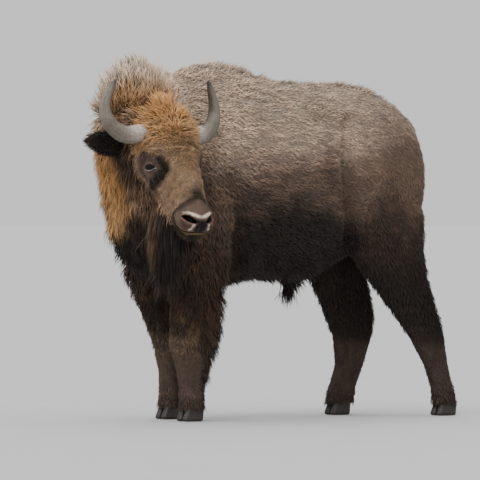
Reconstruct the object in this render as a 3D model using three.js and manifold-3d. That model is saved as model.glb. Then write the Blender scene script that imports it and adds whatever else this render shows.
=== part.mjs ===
// A young wisent (European bison) bull of about three years, standing with its head turned to its left.
// Millimetres, +Z up. The animal faces -X, its left side is -Y, and its hooves stand on z = 0.
// Every solid gives the outline of the coat, out to the tips of the hair.
import * as THREE from "three";
import { mergeVertices } from "three/addons/utils/BufferGeometryUtils.js";
import Module from "manifold-3d";

const wasm = await Module();
wasm.setup();

// ---- driving dimensions ----
const HUMP_TOP = 1612; // floor to the hair on the hump
const BELLY_LOW = 612; // floor to the hair under the belly
const GAP = 0.4; // clearance between neighbouring pieces

const HEAD_AT = [-250, -317, 1278]; // midpoint between the horn bases
const HEAD_TURN = 90; // degrees to the animal's left
const HEAD_DROP = 54; // degrees that the face axis falls below the horizontal

const EYE_AT = [-161, 117, -47]; // in the head's own frame, on the right side
const EYE_RADIUS = 21;

const HOOF_TOP = 66;
const HOOF_LENGTH = 104; // front to back

// Where the trunk is parted, along X.
const CHEST_FRONT_CUT = -85;
const BARREL_FRONT_CUT = 290;
const BARREL_BACK_CUT = 760;

const COLOURS = {
  flank: 0x6b543f,
  mane: 0x8a6a48,
  forehead: 0x9c6f3c,
  dark: 0x33271f,
  leg: 0x443429,
  muzzle: 0x4a4340,
  horn: 0x6f6a62,
  hoof: 0x2a2623,
  eye: 0x0c0808,
};

// ---- lofting ----
const TURN = 2 * Math.PI;
const rad = THREE.MathUtils.degToRad;

/** Catmull-Rom through one number of four neighbouring stations. */
function through(p0, p1, p2, p3, t) {
  const a = 2 * p1;
  const b = p2 - p0;
  const c = 2 * p0 - 5 * p1 + 4 * p2 - p3;
  const d = 3 * p1 - p0 - 3 * p2 + p3;
  return (a + b * t + c * t * t + d * t * t * t) / 2;
}

/** Puts `steps` rows in each interval between stations, every named number following a smooth curve. */
function between(stations, steps) {
  const at = (i) => stations[THREE.MathUtils.clamp(i, 0, stations.length - 1)];
  const rows = [];
  for (let i = 0; i < stations.length - 1; i++) {
    for (let k = 0; k < steps; k++) {
      const row = {};
      for (const key of Object.keys(stations[0])) {
        row[key] = through(at(i - 1)[key], at(i)[key], at(i + 1)[key], at(i + 2)[key], k / steps);
      }
      rows.push(row);
    }
  }
  rows.push(stations.at(-1));
  return rows;
}

/** One coordinate of a superellipse: `wave` is a cosine or sine, `power` 2 is round, more is squarer. */
const squared = (wave, power) => Math.sign(wave) * Math.abs(wave) ** (2 / power);

/** Joins rings of equally many points into one closed surface with a point at each end. */
function skinOf(rings) {
  const sides = rings[0].length;
  const places = rings.flat().flatMap((p) => [p.x, p.y, p.z]);
  const faces = [];
  for (let r = 0; r < rings.length - 1; r++) {
    for (let s = 0; s < sides; s++) {
      const a = r * sides + s;
      const b = r * sides + ((s + 1) % sides);
      faces.push(a, b, b + sides, a, b + sides, a + sides);
    }
  }
  for (const [ring, flip] of [[0, true], [rings.length - 1, false]]) {
    const middle = rings[ring].reduce((sum, p) => sum.add(p), new THREE.Vector3()).divideScalar(sides);
    const centre = places.length / 3;
    places.push(middle.x, middle.y, middle.z);
    for (let s = 0; s < sides; s++) {
      const a = ring * sides + s;
      const b = ring * sides + ((s + 1) % sides);
      faces.push(...(flip ? [centre, b, a] : [centre, a, b]));
    }
  }
  const geometry = new THREE.BufferGeometry();
  geometry.setAttribute("position", new THREE.Float32BufferAttribute(places, 3));
  geometry.setIndex(faces);
  return geometry;
}

/** A closed geometry as a solid to join and cut, its faces turned to point outwards. */
function solid(geometry) {
  const bare = geometry.clone().deleteAttribute("normal").deleteAttribute("uv");
  const merged = mergeVertices(bare, 1e-3);
  const vertProperties = merged.attributes.position.array;
  const facing = (triVerts) => new wasm.Manifold(new wasm.Mesh({ numProp: 3, vertProperties, triVerts }));
  const corners = new Uint32Array(merged.index.array);
  const made = facing(corners);
  return made.volume() > 0 ? made : facing(corners.toReversed());
}

function geometryOf(manifold) {
  const mesh = manifold.getMesh();
  const geometry = new THREE.BufferGeometry();
  geometry.setAttribute("position", new THREE.Float32BufferAttribute(mesh.vertProperties, 3));
  geometry.setIndex([...mesh.triVerts]);
  return geometry;
}

/** The largest separate body of a solid, without the crumbs that a cut can leave. */
const largest = (manifold) =>
  manifold.decompose().reduce((best, one) => (one.volume() > best.volume() ? one : best));

// ---- section shapes ----
/** An upright section round z, from crest down to keel; it faces `heading` degrees left of -X. */
function uprightRing(row, sides, grow, muscles = []) {
  const ring = [];
  const heading = rad(row.heading ?? 0);
  const across = new THREE.Vector3(-Math.sin(heading), Math.cos(heading), 0);
  for (let s = 0; s < sides; s++) {
    const angle = (TURN * s) / sides;
    const rise = Math.sin(angle);
    const upper = rise >= 0;
    const power = upper ? row.crestPower : row.keelPower;
    const reach = (upper ? row.crest - row.z : row.z - row.keel) + grow;
    let side = (row.half + grow) * squared(Math.cos(angle), power);
    const z = row.z + reach * squared(rise, power);
    for (const m of muscles) {
      const away = ((row.x - m.x) / m.long) ** 2 + ((z - m.z) / m.tall) ** 2;
      side += Math.sign(side) * m.swell * Math.exp(-away) * Math.abs(Math.cos(angle));
    }
    ring.push(new THREE.Vector3(row.x, row.y ?? 0, z).addScaledVector(across, side));
  }
  return ring;
}

/** A level section of a limb, reaching `fore` forwards, `aft` rearwards and `wide` to each side. */
function levelRing(row, sides, grow) {
  const ring = [];
  for (let s = 0; s < sides; s++) {
    const angle = (TURN * s) / sides;
    const along = Math.cos(angle);
    const reach = (along < 0 ? row.fore : row.aft) + grow;
    const power = row.power ?? 2.2;
    ring.push(new THREE.Vector3(
      row.x + reach * squared(along, power),
      row.y + (row.wide + grow) * squared(Math.sin(angle), power),
      row.z,
    ));
  }
  return ring;
}

/** Moves the two end rings of a loft outwards along it, as the other rings grow sideways. */
function lengthened(rings, grow) {
  for (const [end, next] of [[rings[0], rings[1]], [rings.at(-1), rings.at(-2)]]) {
    const outwards = end[0].clone().sub(next[0]).add(end[end.length / 2]).sub(next[end.length / 2]);
    outwards.setLength(1.5 * grow);
    end.forEach((p) => p.add(outwards));
  }
  return rings;
}

function uprightLoft(stations, sides, steps, grow = 0, muscles = []) {
  const rings = between(stations, steps).map((row) => uprightRing(row, sides, grow, muscles));
  return solid(skinOf(lengthened(rings, grow)));
}

function levelLoft(stations, sides, steps, grow = 0) {
  const rings = between(stations, steps).map((row) => levelRing(row, sides, grow));
  return solid(skinOf(lengthened(rings, grow)));
}

/** A round tube of varying radius along a smooth curve through the given points. */
function taperedTube(points, radii, sides, steps, grow = 0) {
  const curve = new THREE.CatmullRomCurve3(points.map((p) => new THREE.Vector3(...p)), false, "centripetal");
  const frames = curve.computeFrenetFrames(steps, false);
  const rings = [];
  for (let k = 0; k <= steps; k++) {
    const share = (k / steps) * (radii.length - 1);
    const i = Math.min(Math.floor(share), radii.length - 2);
    const radius = THREE.MathUtils.lerp(radii[i], radii[i + 1], share - i) + grow;
    const centre = curve.getPoint(k / steps);
    rings.push(Array.from({ length: sides }, (_, s) => {
      const angle = (TURN * s) / sides;
      return centre.clone()
        .addScaledVector(frames.normals[k], radius * Math.cos(angle))
        .addScaledVector(frames.binormals[k], radius * Math.sin(angle));
    }));
  }
  return solid(skinOf(lengthened(rings, grow)));
}

/** A large block between two X or Z levels, for parting a solid. */
function slab(axis, from, to) {
  const size = [4000, 4000, 4000];
  const centre = [0, 0, 0];
  size[axis] = to - from;
  centre[axis] = (from + to) / 2;
  return solid(new THREE.BoxGeometry(...size).translate(...centre));
}

// ---- trunk and neck ----
// Upright sections from the brisket to the rump: crest and keel are the back and belly lines.
const TRUNK = [
  { x: -250, crest: 1060, keel: 790, half: 60, z: 930, crestPower: 2, keelPower: 2 },
  { x: -205, crest: 1240, keel: 690, half: 150, z: 930, crestPower: 2, keelPower: 2 },
  { x: -110, crest: 1490, keel: 610, half: 208, z: 940, crestPower: 1.9, keelPower: 1.9 },
  { x: 20, crest: 1580, keel: 596, half: 240, z: 950, crestPower: 1.8, keelPower: 1.9 },
  { x: 190, crest: HUMP_TOP, keel: 606, half: 262, z: 960, crestPower: 1.75, keelPower: 2 },
  { x: 330, crest: 1582, keel: BELLY_LOW, half: 272, z: 960, crestPower: 1.85, keelPower: 2.1 },
  { x: 460, crest: 1538, keel: BELLY_LOW, half: 278, z: 960, crestPower: 2, keelPower: 2.1 },
  { x: 640, crest: 1524, keel: 626, half: 270, z: 990, crestPower: 2.1, keelPower: 2.1 },
  { x: 790, crest: 1520, keel: 680, half: 246, z: 1040, crestPower: 2.1, keelPower: 2 },
  { x: 930, crest: 1512, keel: 740, half: 238, z: 1090, crestPower: 2, keelPower: 2 },
  { x: 1060, crest: 1470, keel: 770, half: 232, z: 1100, crestPower: 2, keelPower: 2 },
  { x: 1170, crest: 1396, keel: 800, half: 200, z: 1090, crestPower: 2, keelPower: 2 },
  { x: 1240, crest: 1300, keel: 860, half: 142, z: 1080, crestPower: 2, keelPower: 2 },
  { x: 1272, crest: 1200, keel: 950, half: 60, z: 1075, crestPower: 2, keelPower: 2 },
];

// Swellings and hollows of the trunk's sides: centre, extent and depth.
const MUSCLES = [
  { x: 90, z: 1180, long: 150, tall: 250, swell: 16 }, // shoulder blade
  { x: 70, z: 860, long: 130, tall: 140, swell: 26 }, // upper arm
  { x: 235, z: 880, long: 45, tall: 170, swell: -22 }, // groove behind the arm
  { x: 480, z: 900, long: 170, tall: 190, swell: 8 }, // ribs
  { x: 752, z: 1060, long: 48, tall: 230, swell: -20 }, // fold before the thigh
  { x: 960, z: 1140, long: 150, tall: 170, swell: 22 }, // haunch
  { x: 800, z: 1340, long: 90, tall: 60, swell: -10 }, // hollow of the flank
  { x: 850, z: 1440, long: 70, tall: 50, swell: 16 }, // hip bone
];

// Upright sections of the neck as it leaves the shoulders, ending in the chest mane.
const NECK = [
  { x: 10, crest: 1555, keel: 740, half: 180, z: 1050, crestPower: 1.8, keelPower: 1.8 },
  { x: -50, crest: 1560, keel: 690, half: 214, z: 1060, crestPower: 1.8, keelPower: 1.8 },
  { x: -170, crest: 1554, keel: 680, half: 212, z: 1110, crestPower: 1.9, keelPower: 1.7 },
  { x: -270, crest: 1568, keel: 700, half: 182, z: 1200, crestPower: 2.2, keelPower: 1.6 },
  { x: -345, crest: 1530, keel: 780, half: 130, z: 1260, crestPower: 2.3, keelPower: 1.5 },
  { x: -385, crest: 1440, keel: 940, half: 60, z: 1270, crestPower: 2.3, keelPower: 1.5 },
];

// Sections of the nape, facing the animal's left, from the neck's far side to the back of the head.
const NAPE = [
  { x: -276, y: 116, crest: 1470, keel: 960, half: 76, z: 1270, crestPower: 2.3, keelPower: 1.6 },
  { x: -268, y: 56, crest: 1560, keel: 820, half: 146, z: 1270, crestPower: 2.3, keelPower: 1.5 },
  { x: -262, y: -40, crest: 1596, keel: 730, half: 176, z: 1250, crestPower: 2.3, keelPower: 1.5 },
  { x: -260, y: -130, crest: 1586, keel: 760, half: 176, z: 1210, crestPower: 2.2, keelPower: 1.6 },
  { x: -260, y: -210, crest: 1510, keel: 850, half: 154, z: 1190, crestPower: 2, keelPower: 1.8 },
  { x: -254, y: -280, crest: 1400, keel: 950, half: 116, z: 1180, crestPower: 2, keelPower: 2 },
].map((row) => ({ ...row, heading: 90 }));

const trunkLoft = (grow = 0) => uprightLoft(TRUNK, 24, 2, grow, MUSCLES);
const neckLoft = (grow = 0) => uprightLoft(NECK, 16, 2, grow).add(uprightLoft(NAPE, 16, 2, grow));

// ---- head, in its own frame: -X down the face to the nose, +Z out of the forehead, +Y to its right ----
const HEAD = [
  { x: 142, crest: 70, keel: -90, half: 70, z: -5, crestPower: 2, keelPower: 2 },
  { x: 60, crest: 116, keel: -160, half: 130, z: -10, crestPower: 2.2, keelPower: 2.2 },
  { x: -10, crest: 106, keel: -184, half: 138, z: -10, crestPower: 2.3, keelPower: 2.4 },
  { x: -80, crest: 90, keel: -194, half: 138, z: -24, crestPower: 2.3, keelPower: 2.5 },
  { x: -140, crest: 77, keel: -192, half: 135, z: -42, crestPower: 2.2, keelPower: 2.4 },
  { x: -195, crest: 72, keel: -182, half: 118, z: -48, crestPower: 2.1, keelPower: 2.6 },
  { x: -260, crest: 68, keel: -162, half: 96, z: -42, crestPower: 2.1, keelPower: 2.7 },
  { x: -330, crest: 60, keel: -140, half: 81, z: -38, crestPower: 2.2, keelPower: 2.7 },
  { x: -395, crest: 42, keel: -126, half: 76, z: -38, crestPower: 2.2, keelPower: 2.8 },
  { x: -445, crest: 28, keel: -124, half: 80, z: -42, crestPower: 2.3, keelPower: 2.8 },
  { x: -484, crest: 14, keel: -114, half: 73, z: -46, crestPower: 2.3, keelPower: 2.6 },
  { x: -506, crest: -6, keel: -98, half: 50, z: -48, crestPower: 2.3, keelPower: 2.2 },
  { x: -512, crest: -24, keel: -80, half: 24, z: -50, crestPower: 2.2, keelPower: 2.2 },
];
const MUZZLE_CUT = -385;

/** Carries a solid or a group from the head's own frame to the body's. */
function headMatrix() {
  const turned = new THREE.Euler(0, rad(-HEAD_DROP), rad(HEAD_TURN), "ZYX");
  return new THREE.Matrix4().makeRotationFromEuler(turned).setPosition(...HEAD_AT);
}

const onHead = (geometry) => geometry.applyMatrix4(headMatrix());

const headLoft = (grow = 0) =>
  solid(onHead(skinOf(lengthened(between(HEAD, 2).map((row) => uprightRing(row, 16, grow)), grow))));

const eyeBall = (side, radius) =>
  solid(onHead(new THREE.SphereGeometry(radius, 12, 7)
    .translate(EYE_AT[0], side * EYE_AT[1], EYE_AT[2])));

// Ears in the body's frame: the right one stands out sideways, the left one is laid back against the neck.
const EARS = {
  right: { root: [-350, -240, 1204], tip: [-566, -162, 1246], opening: [-0.35, -1, -0.15] },
  left: { root: [-160, -262, 1205], tip: [-44, -236, 1118], opening: [0.5, -1, 0] },
};
// Across an ear, from its root to its tip: half its breadth, and half its thickness.
const EAR_LEAF = [
  { half: 34, thick: 24 },
  { half: 50, thick: 24 },
  { half: 59, thick: 22 },
  { half: 52, thick: 19 },
  { half: 22, thick: 10 },
];

function ear({ root, tip, opening }) {
  const start = new THREE.Vector3(...root);
  const along = new THREE.Vector3(...tip).sub(start);
  const broad = new THREE.Vector3(...opening).cross(along).normalize();
  const out = along.clone().cross(broad).normalize();
  const rows = between(EAR_LEAF, 2);
  return solid(skinOf(rows.map((row, k) => Array.from({ length: 10 }, (_, s) => {
    const angle = (TURN * s) / 10;
    return start.clone()
      .addScaledVector(along, k / (rows.length - 1))
      .addScaledVector(broad, row.half * Math.cos(angle))
      .addScaledVector(out, row.thick * Math.sin(angle));
  }))));
}

// Horn centre lines as [outwards, rearwards, up] from the midpoint between the horn bases.
const HORN_LINE = [
  [92, 4, 0], [140, 4, -8], [198, 22, -12], [250, 42, 20],
  [278, 56, 78], [274, 56, 140], [252, 46, 196], [236, 38, 230],
];
const HORN_RADII = [38, 40, 39, 34, 28, 22, 15, 5];

function horn(side, grow = 0) {
  const line = HORN_LINE.map(([out, back, up]) => [
    HEAD_AT[0] - side * out, HEAD_AT[1] + back, HEAD_AT[2] + up,
  ]);
  return taperedTube(line, HORN_RADII, 10, 14, grow);
}

// Level sections of the beard, hanging from the jaw and throat.
const BEARD = [
  { x: -250, y: -350, z: 1010, fore: 70, aft: 70, wide: 150 },
  { x: -250, y: -360, z: 920, fore: 84, aft: 84, wide: 168 },
  { x: -250, y: -352, z: 830, fore: 80, aft: 80, wide: 160 },
  { x: -250, y: -322, z: 740, fore: 62, aft: 62, wide: 118 },
  { x: -250, y: -296, z: 670, fore: 38, aft: 38, wide: 62 },
  { x: -250, y: -286, z: 632, fore: 12, aft: 12, wide: 20 },
];

// ---- legs: level sections from inside the trunk down to the top of the hoof ----
const FORELEGS = {
  left: [
    { x: 80, y: -100, z: 940, fore: 110, aft: 120, wide: 60 },
    { x: 60, y: -126, z: 850, fore: 140, aft: 146, wide: 82 },
    { x: 30, y: -150, z: 720, fore: 164, aft: 146, wide: 92 },
    { x: 8, y: -150, z: 600, fore: 132, aft: 134, wide: 84 },
    { x: -10, y: -148, z: 500, fore: 116, aft: 130, wide: 72 },
    { x: -22, y: -146, z: 410, fore: 106, aft: 144, wide: 62 },
    { x: -40, y: -145, z: 330, fore: 84, aft: 144, wide: 57 },
    { x: -44, y: -145, z: 255, fore: 54, aft: 116, wide: 48 },
    { x: -40, y: -145, z: 165, fore: 38, aft: 88, wide: 41 },
    { x: -28, y: -145, z: 112, fore: 44, aft: 68, wide: 46 },
    { x: -18, y: -145, z: HOOF_TOP, fore: 50, aft: 52, wide: 50 },
  ],
  right: [
    { x: 80, y: 100, z: 940, fore: 120, aft: 120, wide: 60 },
    { x: 50, y: 126, z: 850, fore: 180, aft: 146, wide: 82 },
    { x: 8, y: 146, z: 720, fore: 198, aft: 158, wide: 92 },
    { x: 0, y: 146, z: 650, fore: 188, aft: 150, wide: 88 },
    { x: 2, y: 145, z: 590, fore: 158, aft: 142, wide: 82 },
    { x: 2, y: 142, z: 500, fore: 116, aft: 128, wide: 72 },
    { x: 10, y: 138, z: 410, fore: 86, aft: 116, wide: 60 },
    { x: 18, y: 136, z: 330, fore: 60, aft: 96, wide: 55 },
    { x: 26, y: 135, z: 220, fore: 40, aft: 72, wide: 44 },
    { x: 36, y: 135, z: 112, fore: 44, aft: 56, wide: 46 },
    { x: 40, y: 135, z: HOOF_TOP, fore: 50, aft: 48, wide: 50 },
  ],
};

const HINDLEGS = {
  left: [
    { x: 1010, y: -90, z: 1140, fore: 150, aft: 150, wide: 70 },
    { x: 990, y: -112, z: 1040, fore: 206, aft: 214, wide: 90 },
    { x: 985, y: -138, z: 910, fore: 232, aft: 240, wide: 114 },
    { x: 1000, y: -156, z: 780, fore: 214, aft: 206, wide: 110 },
    { x: 1064, y: -166, z: 645, fore: 166, aft: 154, wide: 90 },
    { x: 1134, y: -168, z: 540, fore: 150, aft: 118, wide: 74 },
    { x: 1190, y: -168, z: 450, fore: 128, aft: 96, wide: 64 },
    { x: 1228, y: -168, z: 363, fore: 94, aft: 86, wide: 56 },
    { x: 1276, y: -168, z: 230, fore: 60, aft: 60, wide: 44 },
    { x: 1314, y: -168, z: 112, fore: 52, aft: 54, wide: 46 },
    { x: 1326, y: -168, z: HOOF_TOP, fore: 52, aft: 50, wide: 50 },
  ],
  right: [
    { x: 1000, y: 90, z: 1140, fore: 150, aft: 150, wide: 70 },
    { x: 960, y: 112, z: 1040, fore: 206, aft: 220, wide: 90 },
    { x: 925, y: 138, z: 910, fore: 214, aft: 250, wide: 112 },
    { x: 918, y: 152, z: 780, fore: 180, aft: 210, wide: 106 },
    { x: 958, y: 160, z: 640, fore: 158, aft: 142, wide: 90 },
    { x: 1000, y: 162, z: 540, fore: 148, aft: 128, wide: 76 },
    { x: 1032, y: 162, z: 450, fore: 142, aft: 118, wide: 66 },
    { x: 1042, y: 162, z: 363, fore: 108, aft: 96, wide: 58 },
    { x: 1024, y: 162, z: 230, fore: 78, aft: 68, wide: 46 },
    { x: 978, y: 162, z: 112, fore: 68, aft: 62, wide: 50 },
    { x: 962, y: 162, z: HOOF_TOP, fore: 60, aft: 58, wide: 50 },
  ],
};

const KNEE_CUT = 300;
const ELBOW_CUT = 560;
const FETLOCK_CUT = 135;
const HOCK_CUT = 385;
const STIFLE_CUT = 700;

// ---- tail and belly tuft ----
const TAIL_LINE = [[1200, 14, 1366], [1258, 14, 1304], [1286, 14, 1200], [1292, 14, 1050], [1280, 14, 880]];
const TAIL_RADII = [34, 30, 26, 22, 21];
const TUFT_LINE = [[1280, 14, 879], [1272, 14, 760], [1268, 14, 640], [1272, 14, 520], [1276, 14, 455]];
const TUFT_RADII = [22, 34, 38, 28, 7];
const SHEATH_TUFT = [
  { x: 585, y: 0, z: 690, fore: 60, aft: 60, wide: 34 },
  { x: 585, y: 0, z: 620, fore: 70, aft: 62, wide: 32 },
  { x: 580, y: 0, z: 580, fore: 46, aft: 42, wide: 22 },
  { x: 574, y: 0, z: 548, fore: 12, aft: 12, wide: 8 },
];

/** One claw of a cloven hoof: a wedge with a flat sole on the floor and a sloping front wall. */
function claw(x, y, inward) {
  const half = HOOF_LENGTH / 2;
  const row = (z, grow, lean) => ({
    x: x + lean, y, z, fore: half + grow, aft: half + grow * 0.4, wide: 22 + grow * 0.3, power: 2.4,
  });
  const made = levelLoft([row(0, 0, -4), row(6, 3, -4), row(30, -3, 0), row(HOOF_TOP - GAP, -10, 8)], 8, 1);
  return made.translate([0, inward * 25, 0]);
}

/** A dewclaw behind the fetlock, on one side of the foot. */
function dewclaw({ x, y, z, aft, wide }, side, grow = 0) {
  const rear = x + aft - 10;
  const out = y + side * 0.5 * wide;
  const line = [[rear - 26, out, z + 6], [rear - 4, out, z - 4], [rear + 4, out, z - 26]];
  return taperedTube(line, [9, 12, 4], 6, 2, grow);
}

// ---- assembly ----
const body = new THREE.Group();

/** Adds one named piece with its own material. */
function add(name, manifold, colour, roughness = 0.9) {
  const material = new THREE.MeshStandardMaterial({ color: colour, roughness, metalness: 0 });
  const mesh = new THREE.Mesh(geometryOf(largest(manifold)), material);
  mesh.name = name;
  body.add(mesh);
}

function addTrunkAndNeck(headSpace, beardSpace) {
  const whole = trunkLoft().add(neckLoft());
  const neck = whole.intersect(slab(0, -2000, CHEST_FRONT_CUT)).subtract(headSpace).subtract(beardSpace);
  const part = (from, to) => whole.intersect(slab(0, from + GAP, to));
  add("neck", neck, COLOURS.mane);
  add("forequarters", part(CHEST_FRONT_CUT, BARREL_FRONT_CUT), COLOURS.flank);
  add("barrel", part(BARREL_FRONT_CUT, BARREL_BACK_CUT), COLOURS.flank);
  add("hindquarters", part(BARREL_BACK_CUT, 3000), COLOURS.flank);
}

function addHead(headSolid) {
  const hornSpace = horn(1, GAP).add(horn(-1, GAP));
  const sockets = eyeBall(1, EYE_RADIUS + GAP).add(eyeBall(-1, EYE_RADIUS + GAP));
  const flesh = headSolid.subtract(hornSpace).subtract(sockets);
  const block = (from, to) =>
    solid(onHead(new THREE.BoxGeometry(to - from, 800, 800).translate((from + to) / 2, 0, 0)));
  add("head", flesh.intersect(block(MUZZLE_CUT + GAP, 600)), COLOURS.forehead);
  add("muzzle", flesh.intersect(block(-900, MUZZLE_CUT)), COLOURS.muzzle);
  for (const [name, side] of [["right", 1], ["left", -1]]) {
    add(`horn_${name}`, horn(side), COLOURS.horn, 0.45);
    add(`eye_${name}`, eyeBall(side, EYE_RADIUS), COLOURS.eye, 0.1);
  }
}

function addEars(headSpace, neckSpace) {
  for (const [name, side] of [["right", 1], ["left", -1]]) {
    const leaf = ear(EARS[name]).subtract(headSpace).subtract(neckSpace).subtract(horn(side, GAP));
    add(`ear_${name}`, leaf, COLOURS.dark);
  }
}

/** Parts a leg at the given heights, top first, and names the lengths. */
function addLeg(prefix, whole, cuts, names) {
  const levels = [3000, ...cuts, 0];
  names.forEach((name, i) => {
    add(`${prefix}_${name}`, whole.intersect(slab(2, levels[i + 1] + GAP, levels[i])), COLOURS.leg);
  });
}

function addHooves(prefix, { x, y }) {
  for (const [name, side] of [["outer", Math.sign(y)], ["inner", -Math.sign(y)]]) {
    add(`${prefix}_hoof_${name}`, claw(x - 4, y, side), COLOURS.hoof, 0.5);
  }
}

function addLegs(trunkSpace) {
  const plans = [
    ["foreleg", FORELEGS, [ELBOW_CUT, KNEE_CUT, FETLOCK_CUT], ["arm", "forearm", "cannon", "pastern"]],
    ["hindleg", HINDLEGS, [STIFLE_CUT, HOCK_CUT, FETLOCK_CUT], ["thigh", "gaskin", "cannon", "pastern"]],
  ];
  for (const [leg, shapes, cuts, names] of plans) {
    for (const side of ["left", "right"]) {
      const prefix = `${leg}_${side}`;
      const stations = shapes[side];
      const fetlock = stations.at(-2);
      const clawSpace = dewclaw(fetlock, 1, GAP).add(dewclaw(fetlock, -1, GAP));
      const flesh = levelLoft(stations, 14, 1).subtract(trunkSpace).subtract(clawSpace);
      addLeg(prefix, flesh, cuts, names);
      addHooves(prefix, stations.at(-1));
      add(`${prefix}_dewclaw_outer`, dewclaw(fetlock, Math.sign(fetlock.y)), COLOURS.hoof, 0.5);
      add(`${prefix}_dewclaw_inner`, dewclaw(fetlock, -Math.sign(fetlock.y)), COLOURS.hoof, 0.5);
    }
  }
}

function addTail(trunkSpace) {
  add("tail", taperedTube(TAIL_LINE, TAIL_RADII, 8, 5).subtract(trunkSpace), COLOURS.flank);
  add("tail_tuft", taperedTube(TUFT_LINE, TUFT_RADII, 8, 6), COLOURS.dark);
}

const headSolid = headLoft();
const headSpace = headLoft(GAP);
const trunkSpace = trunkLoft(GAP);
const neckSpace = neckLoft(GAP);
const beardSolid = levelLoft(BEARD, 14, 1);
const beardSpace = levelLoft(BEARD, 14, 1, GAP);

addTrunkAndNeck(headSpace, beardSpace);
addHead(headSolid);
addEars(headSpace, neckSpace);
add("beard", beardSolid.subtract(headSpace), COLOURS.dark);
addLegs(trunkSpace.add(neckSpace));
addTail(trunkSpace);
add("sheath_tuft", levelLoft(SHEATH_TUFT, 10, 1).subtract(trunkSpace), COLOURS.dark);

// The origin is the centre of the model's footprint, on the floor.
const box = new THREE.Box3().setFromObject(body);
const centre = box.getCenter(new THREE.Vector3());
body.position.set(-centre.x, -centre.y, -box.min.z);

export default body;
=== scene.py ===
"""A still, life-size young wisent (European bison) bull: skin, coat in tufts, eyes, horns, hooves and studio.

The animal frame has +Z up, faces -X and has its left side on -Y. The head frame has -X down the face to the
nose, +Z out of the forehead and +Y to the head's right.
"""
import math

import bmesh
import bpy
import numpy as np
from mathutils import Matrix, Vector
from mathutils.bvhtree import BVHTree


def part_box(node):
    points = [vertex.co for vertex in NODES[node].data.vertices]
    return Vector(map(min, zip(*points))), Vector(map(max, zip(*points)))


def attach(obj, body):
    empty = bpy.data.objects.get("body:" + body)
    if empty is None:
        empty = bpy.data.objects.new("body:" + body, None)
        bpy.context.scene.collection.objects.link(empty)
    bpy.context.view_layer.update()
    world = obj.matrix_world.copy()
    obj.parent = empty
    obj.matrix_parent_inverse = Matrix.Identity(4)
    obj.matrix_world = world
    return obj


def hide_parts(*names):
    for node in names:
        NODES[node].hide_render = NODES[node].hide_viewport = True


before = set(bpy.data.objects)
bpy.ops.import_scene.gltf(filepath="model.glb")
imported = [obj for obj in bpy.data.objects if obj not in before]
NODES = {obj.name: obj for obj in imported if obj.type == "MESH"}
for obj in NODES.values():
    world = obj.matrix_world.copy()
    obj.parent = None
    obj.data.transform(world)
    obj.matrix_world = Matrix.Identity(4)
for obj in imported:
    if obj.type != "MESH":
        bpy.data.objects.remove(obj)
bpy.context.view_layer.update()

RANDOM = np.random.default_rng(11)

# ---- the frame of the CAD model, in metres ----
MM_PER_M = 1000
BARREL_FRONT = 0.2904
HEAD_AT = np.array([-0.250, -0.317, 1.278])
HEAD_TURN = math.radians(90)
HEAD_DROP = math.radians(54)
EYE_AT = np.array([-0.161, 0.117, -0.047])
EYE_RADIUS = 0.021
HORN_LINE = np.array([
    [92, 4, 0], [140, 4, -8], [198, 22, -12], [250, 42, 20], [278, 56, 78], [274, 56, 140], [252, 46, 196],
    [236, 38, 230],
]) / MM_PER_M
HORN_RADII = np.array([38, 40, 39, 34, 28, 22, 15, 5]) / MM_PER_M
HOOF_TOP = 0.066

low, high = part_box("barrel")
ORIGIN = np.array([low.x - BARREL_FRONT, (low.y + high.y) / 2, 0.0])
HEAD_AXES = np.array(Matrix.Rotation(HEAD_TURN, 3, "Z") @ Matrix.Rotation(-HEAD_DROP, 3, "Y"))

CLAWS = [name for name in NODES if "hoof" in name or "dewclaw" in name]
HORNS = [name for name in NODES if name.startswith("horn")]
EYES = [name for name in NODES if name.startswith("eye")]
FLESH = [name for name in sorted(NODES) if name not in CLAWS + HORNS + EYES]


# ---- numbers and vectors ----
def ramp(value, start, end):
    """0 before start, 1 after end, and smooth between them; start may be above end."""
    t = np.clip((value - start) / (end - start), 0, 1)
    return t * t * (3 - 2 * t)


def blob(points, centre, radii):
    """1 at the centre, falling away over the given radii."""
    return np.exp(-(((points - np.array(centre)) / np.array(radii)) ** 2).sum(-1))


def unit(vectors):
    return vectors / np.maximum(np.linalg.norm(vectors, axis=-1, keepdims=True), 1e-9)


def to_head(points):
    """Animal frame to head frame."""
    return (points - HEAD_AT) @ HEAD_AXES


def lattice(cells, seed):
    """A repeatable number from -1 to 1 for each whole-number cell."""
    x, y, z = (cells[:, i].astype(np.int64) for i in range(3))
    n = (x * 374761393 + y * 668265263 + z * 1274126177 + seed * 974634777) & 0xFFFFFFFF
    n = ((n ^ (n >> 13)) * 1103515245) & 0xFFFFFFFF
    n = ((n ^ (n >> 16)) * 1540483477) & 0xFFFFFFFF
    return ((n >> 8) & 0xFFFFFF) / float(0x7FFFFF) - 1


def wave(points, size, seed):
    """Smooth noise from -1 to 1 whose bumps are about `size` across; size may differ by axis."""
    spot = points / np.array(size)
    cell = np.floor(spot)
    f = spot - cell
    f = f * f * (3 - 2 * f)
    total = np.zeros(len(points))
    for dx in (0, 1):
        for dy in (0, 1):
            for dz in (0, 1):
                share = np.abs(1 - dx - f[:, 0]) * np.abs(1 - dy - f[:, 1]) * np.abs(1 - dz - f[:, 2])
                total += share * lattice(cell + np.array([dx, dy, dz]), seed)
    return total


# ---- meshes as arrays ----
def points_of(mesh):
    flat = np.zeros(len(mesh.vertices) * 3, np.float32)
    mesh.vertices.foreach_get("co", flat)
    return flat.reshape(-1, 3).astype(float)


def triangles_of(mesh):
    mesh.calc_loop_triangles()
    flat = np.zeros(len(mesh.loop_triangles) * 3, np.int32)
    mesh.loop_triangles.foreach_get("vertices", flat)
    return flat.reshape(-1, 3)


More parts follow.
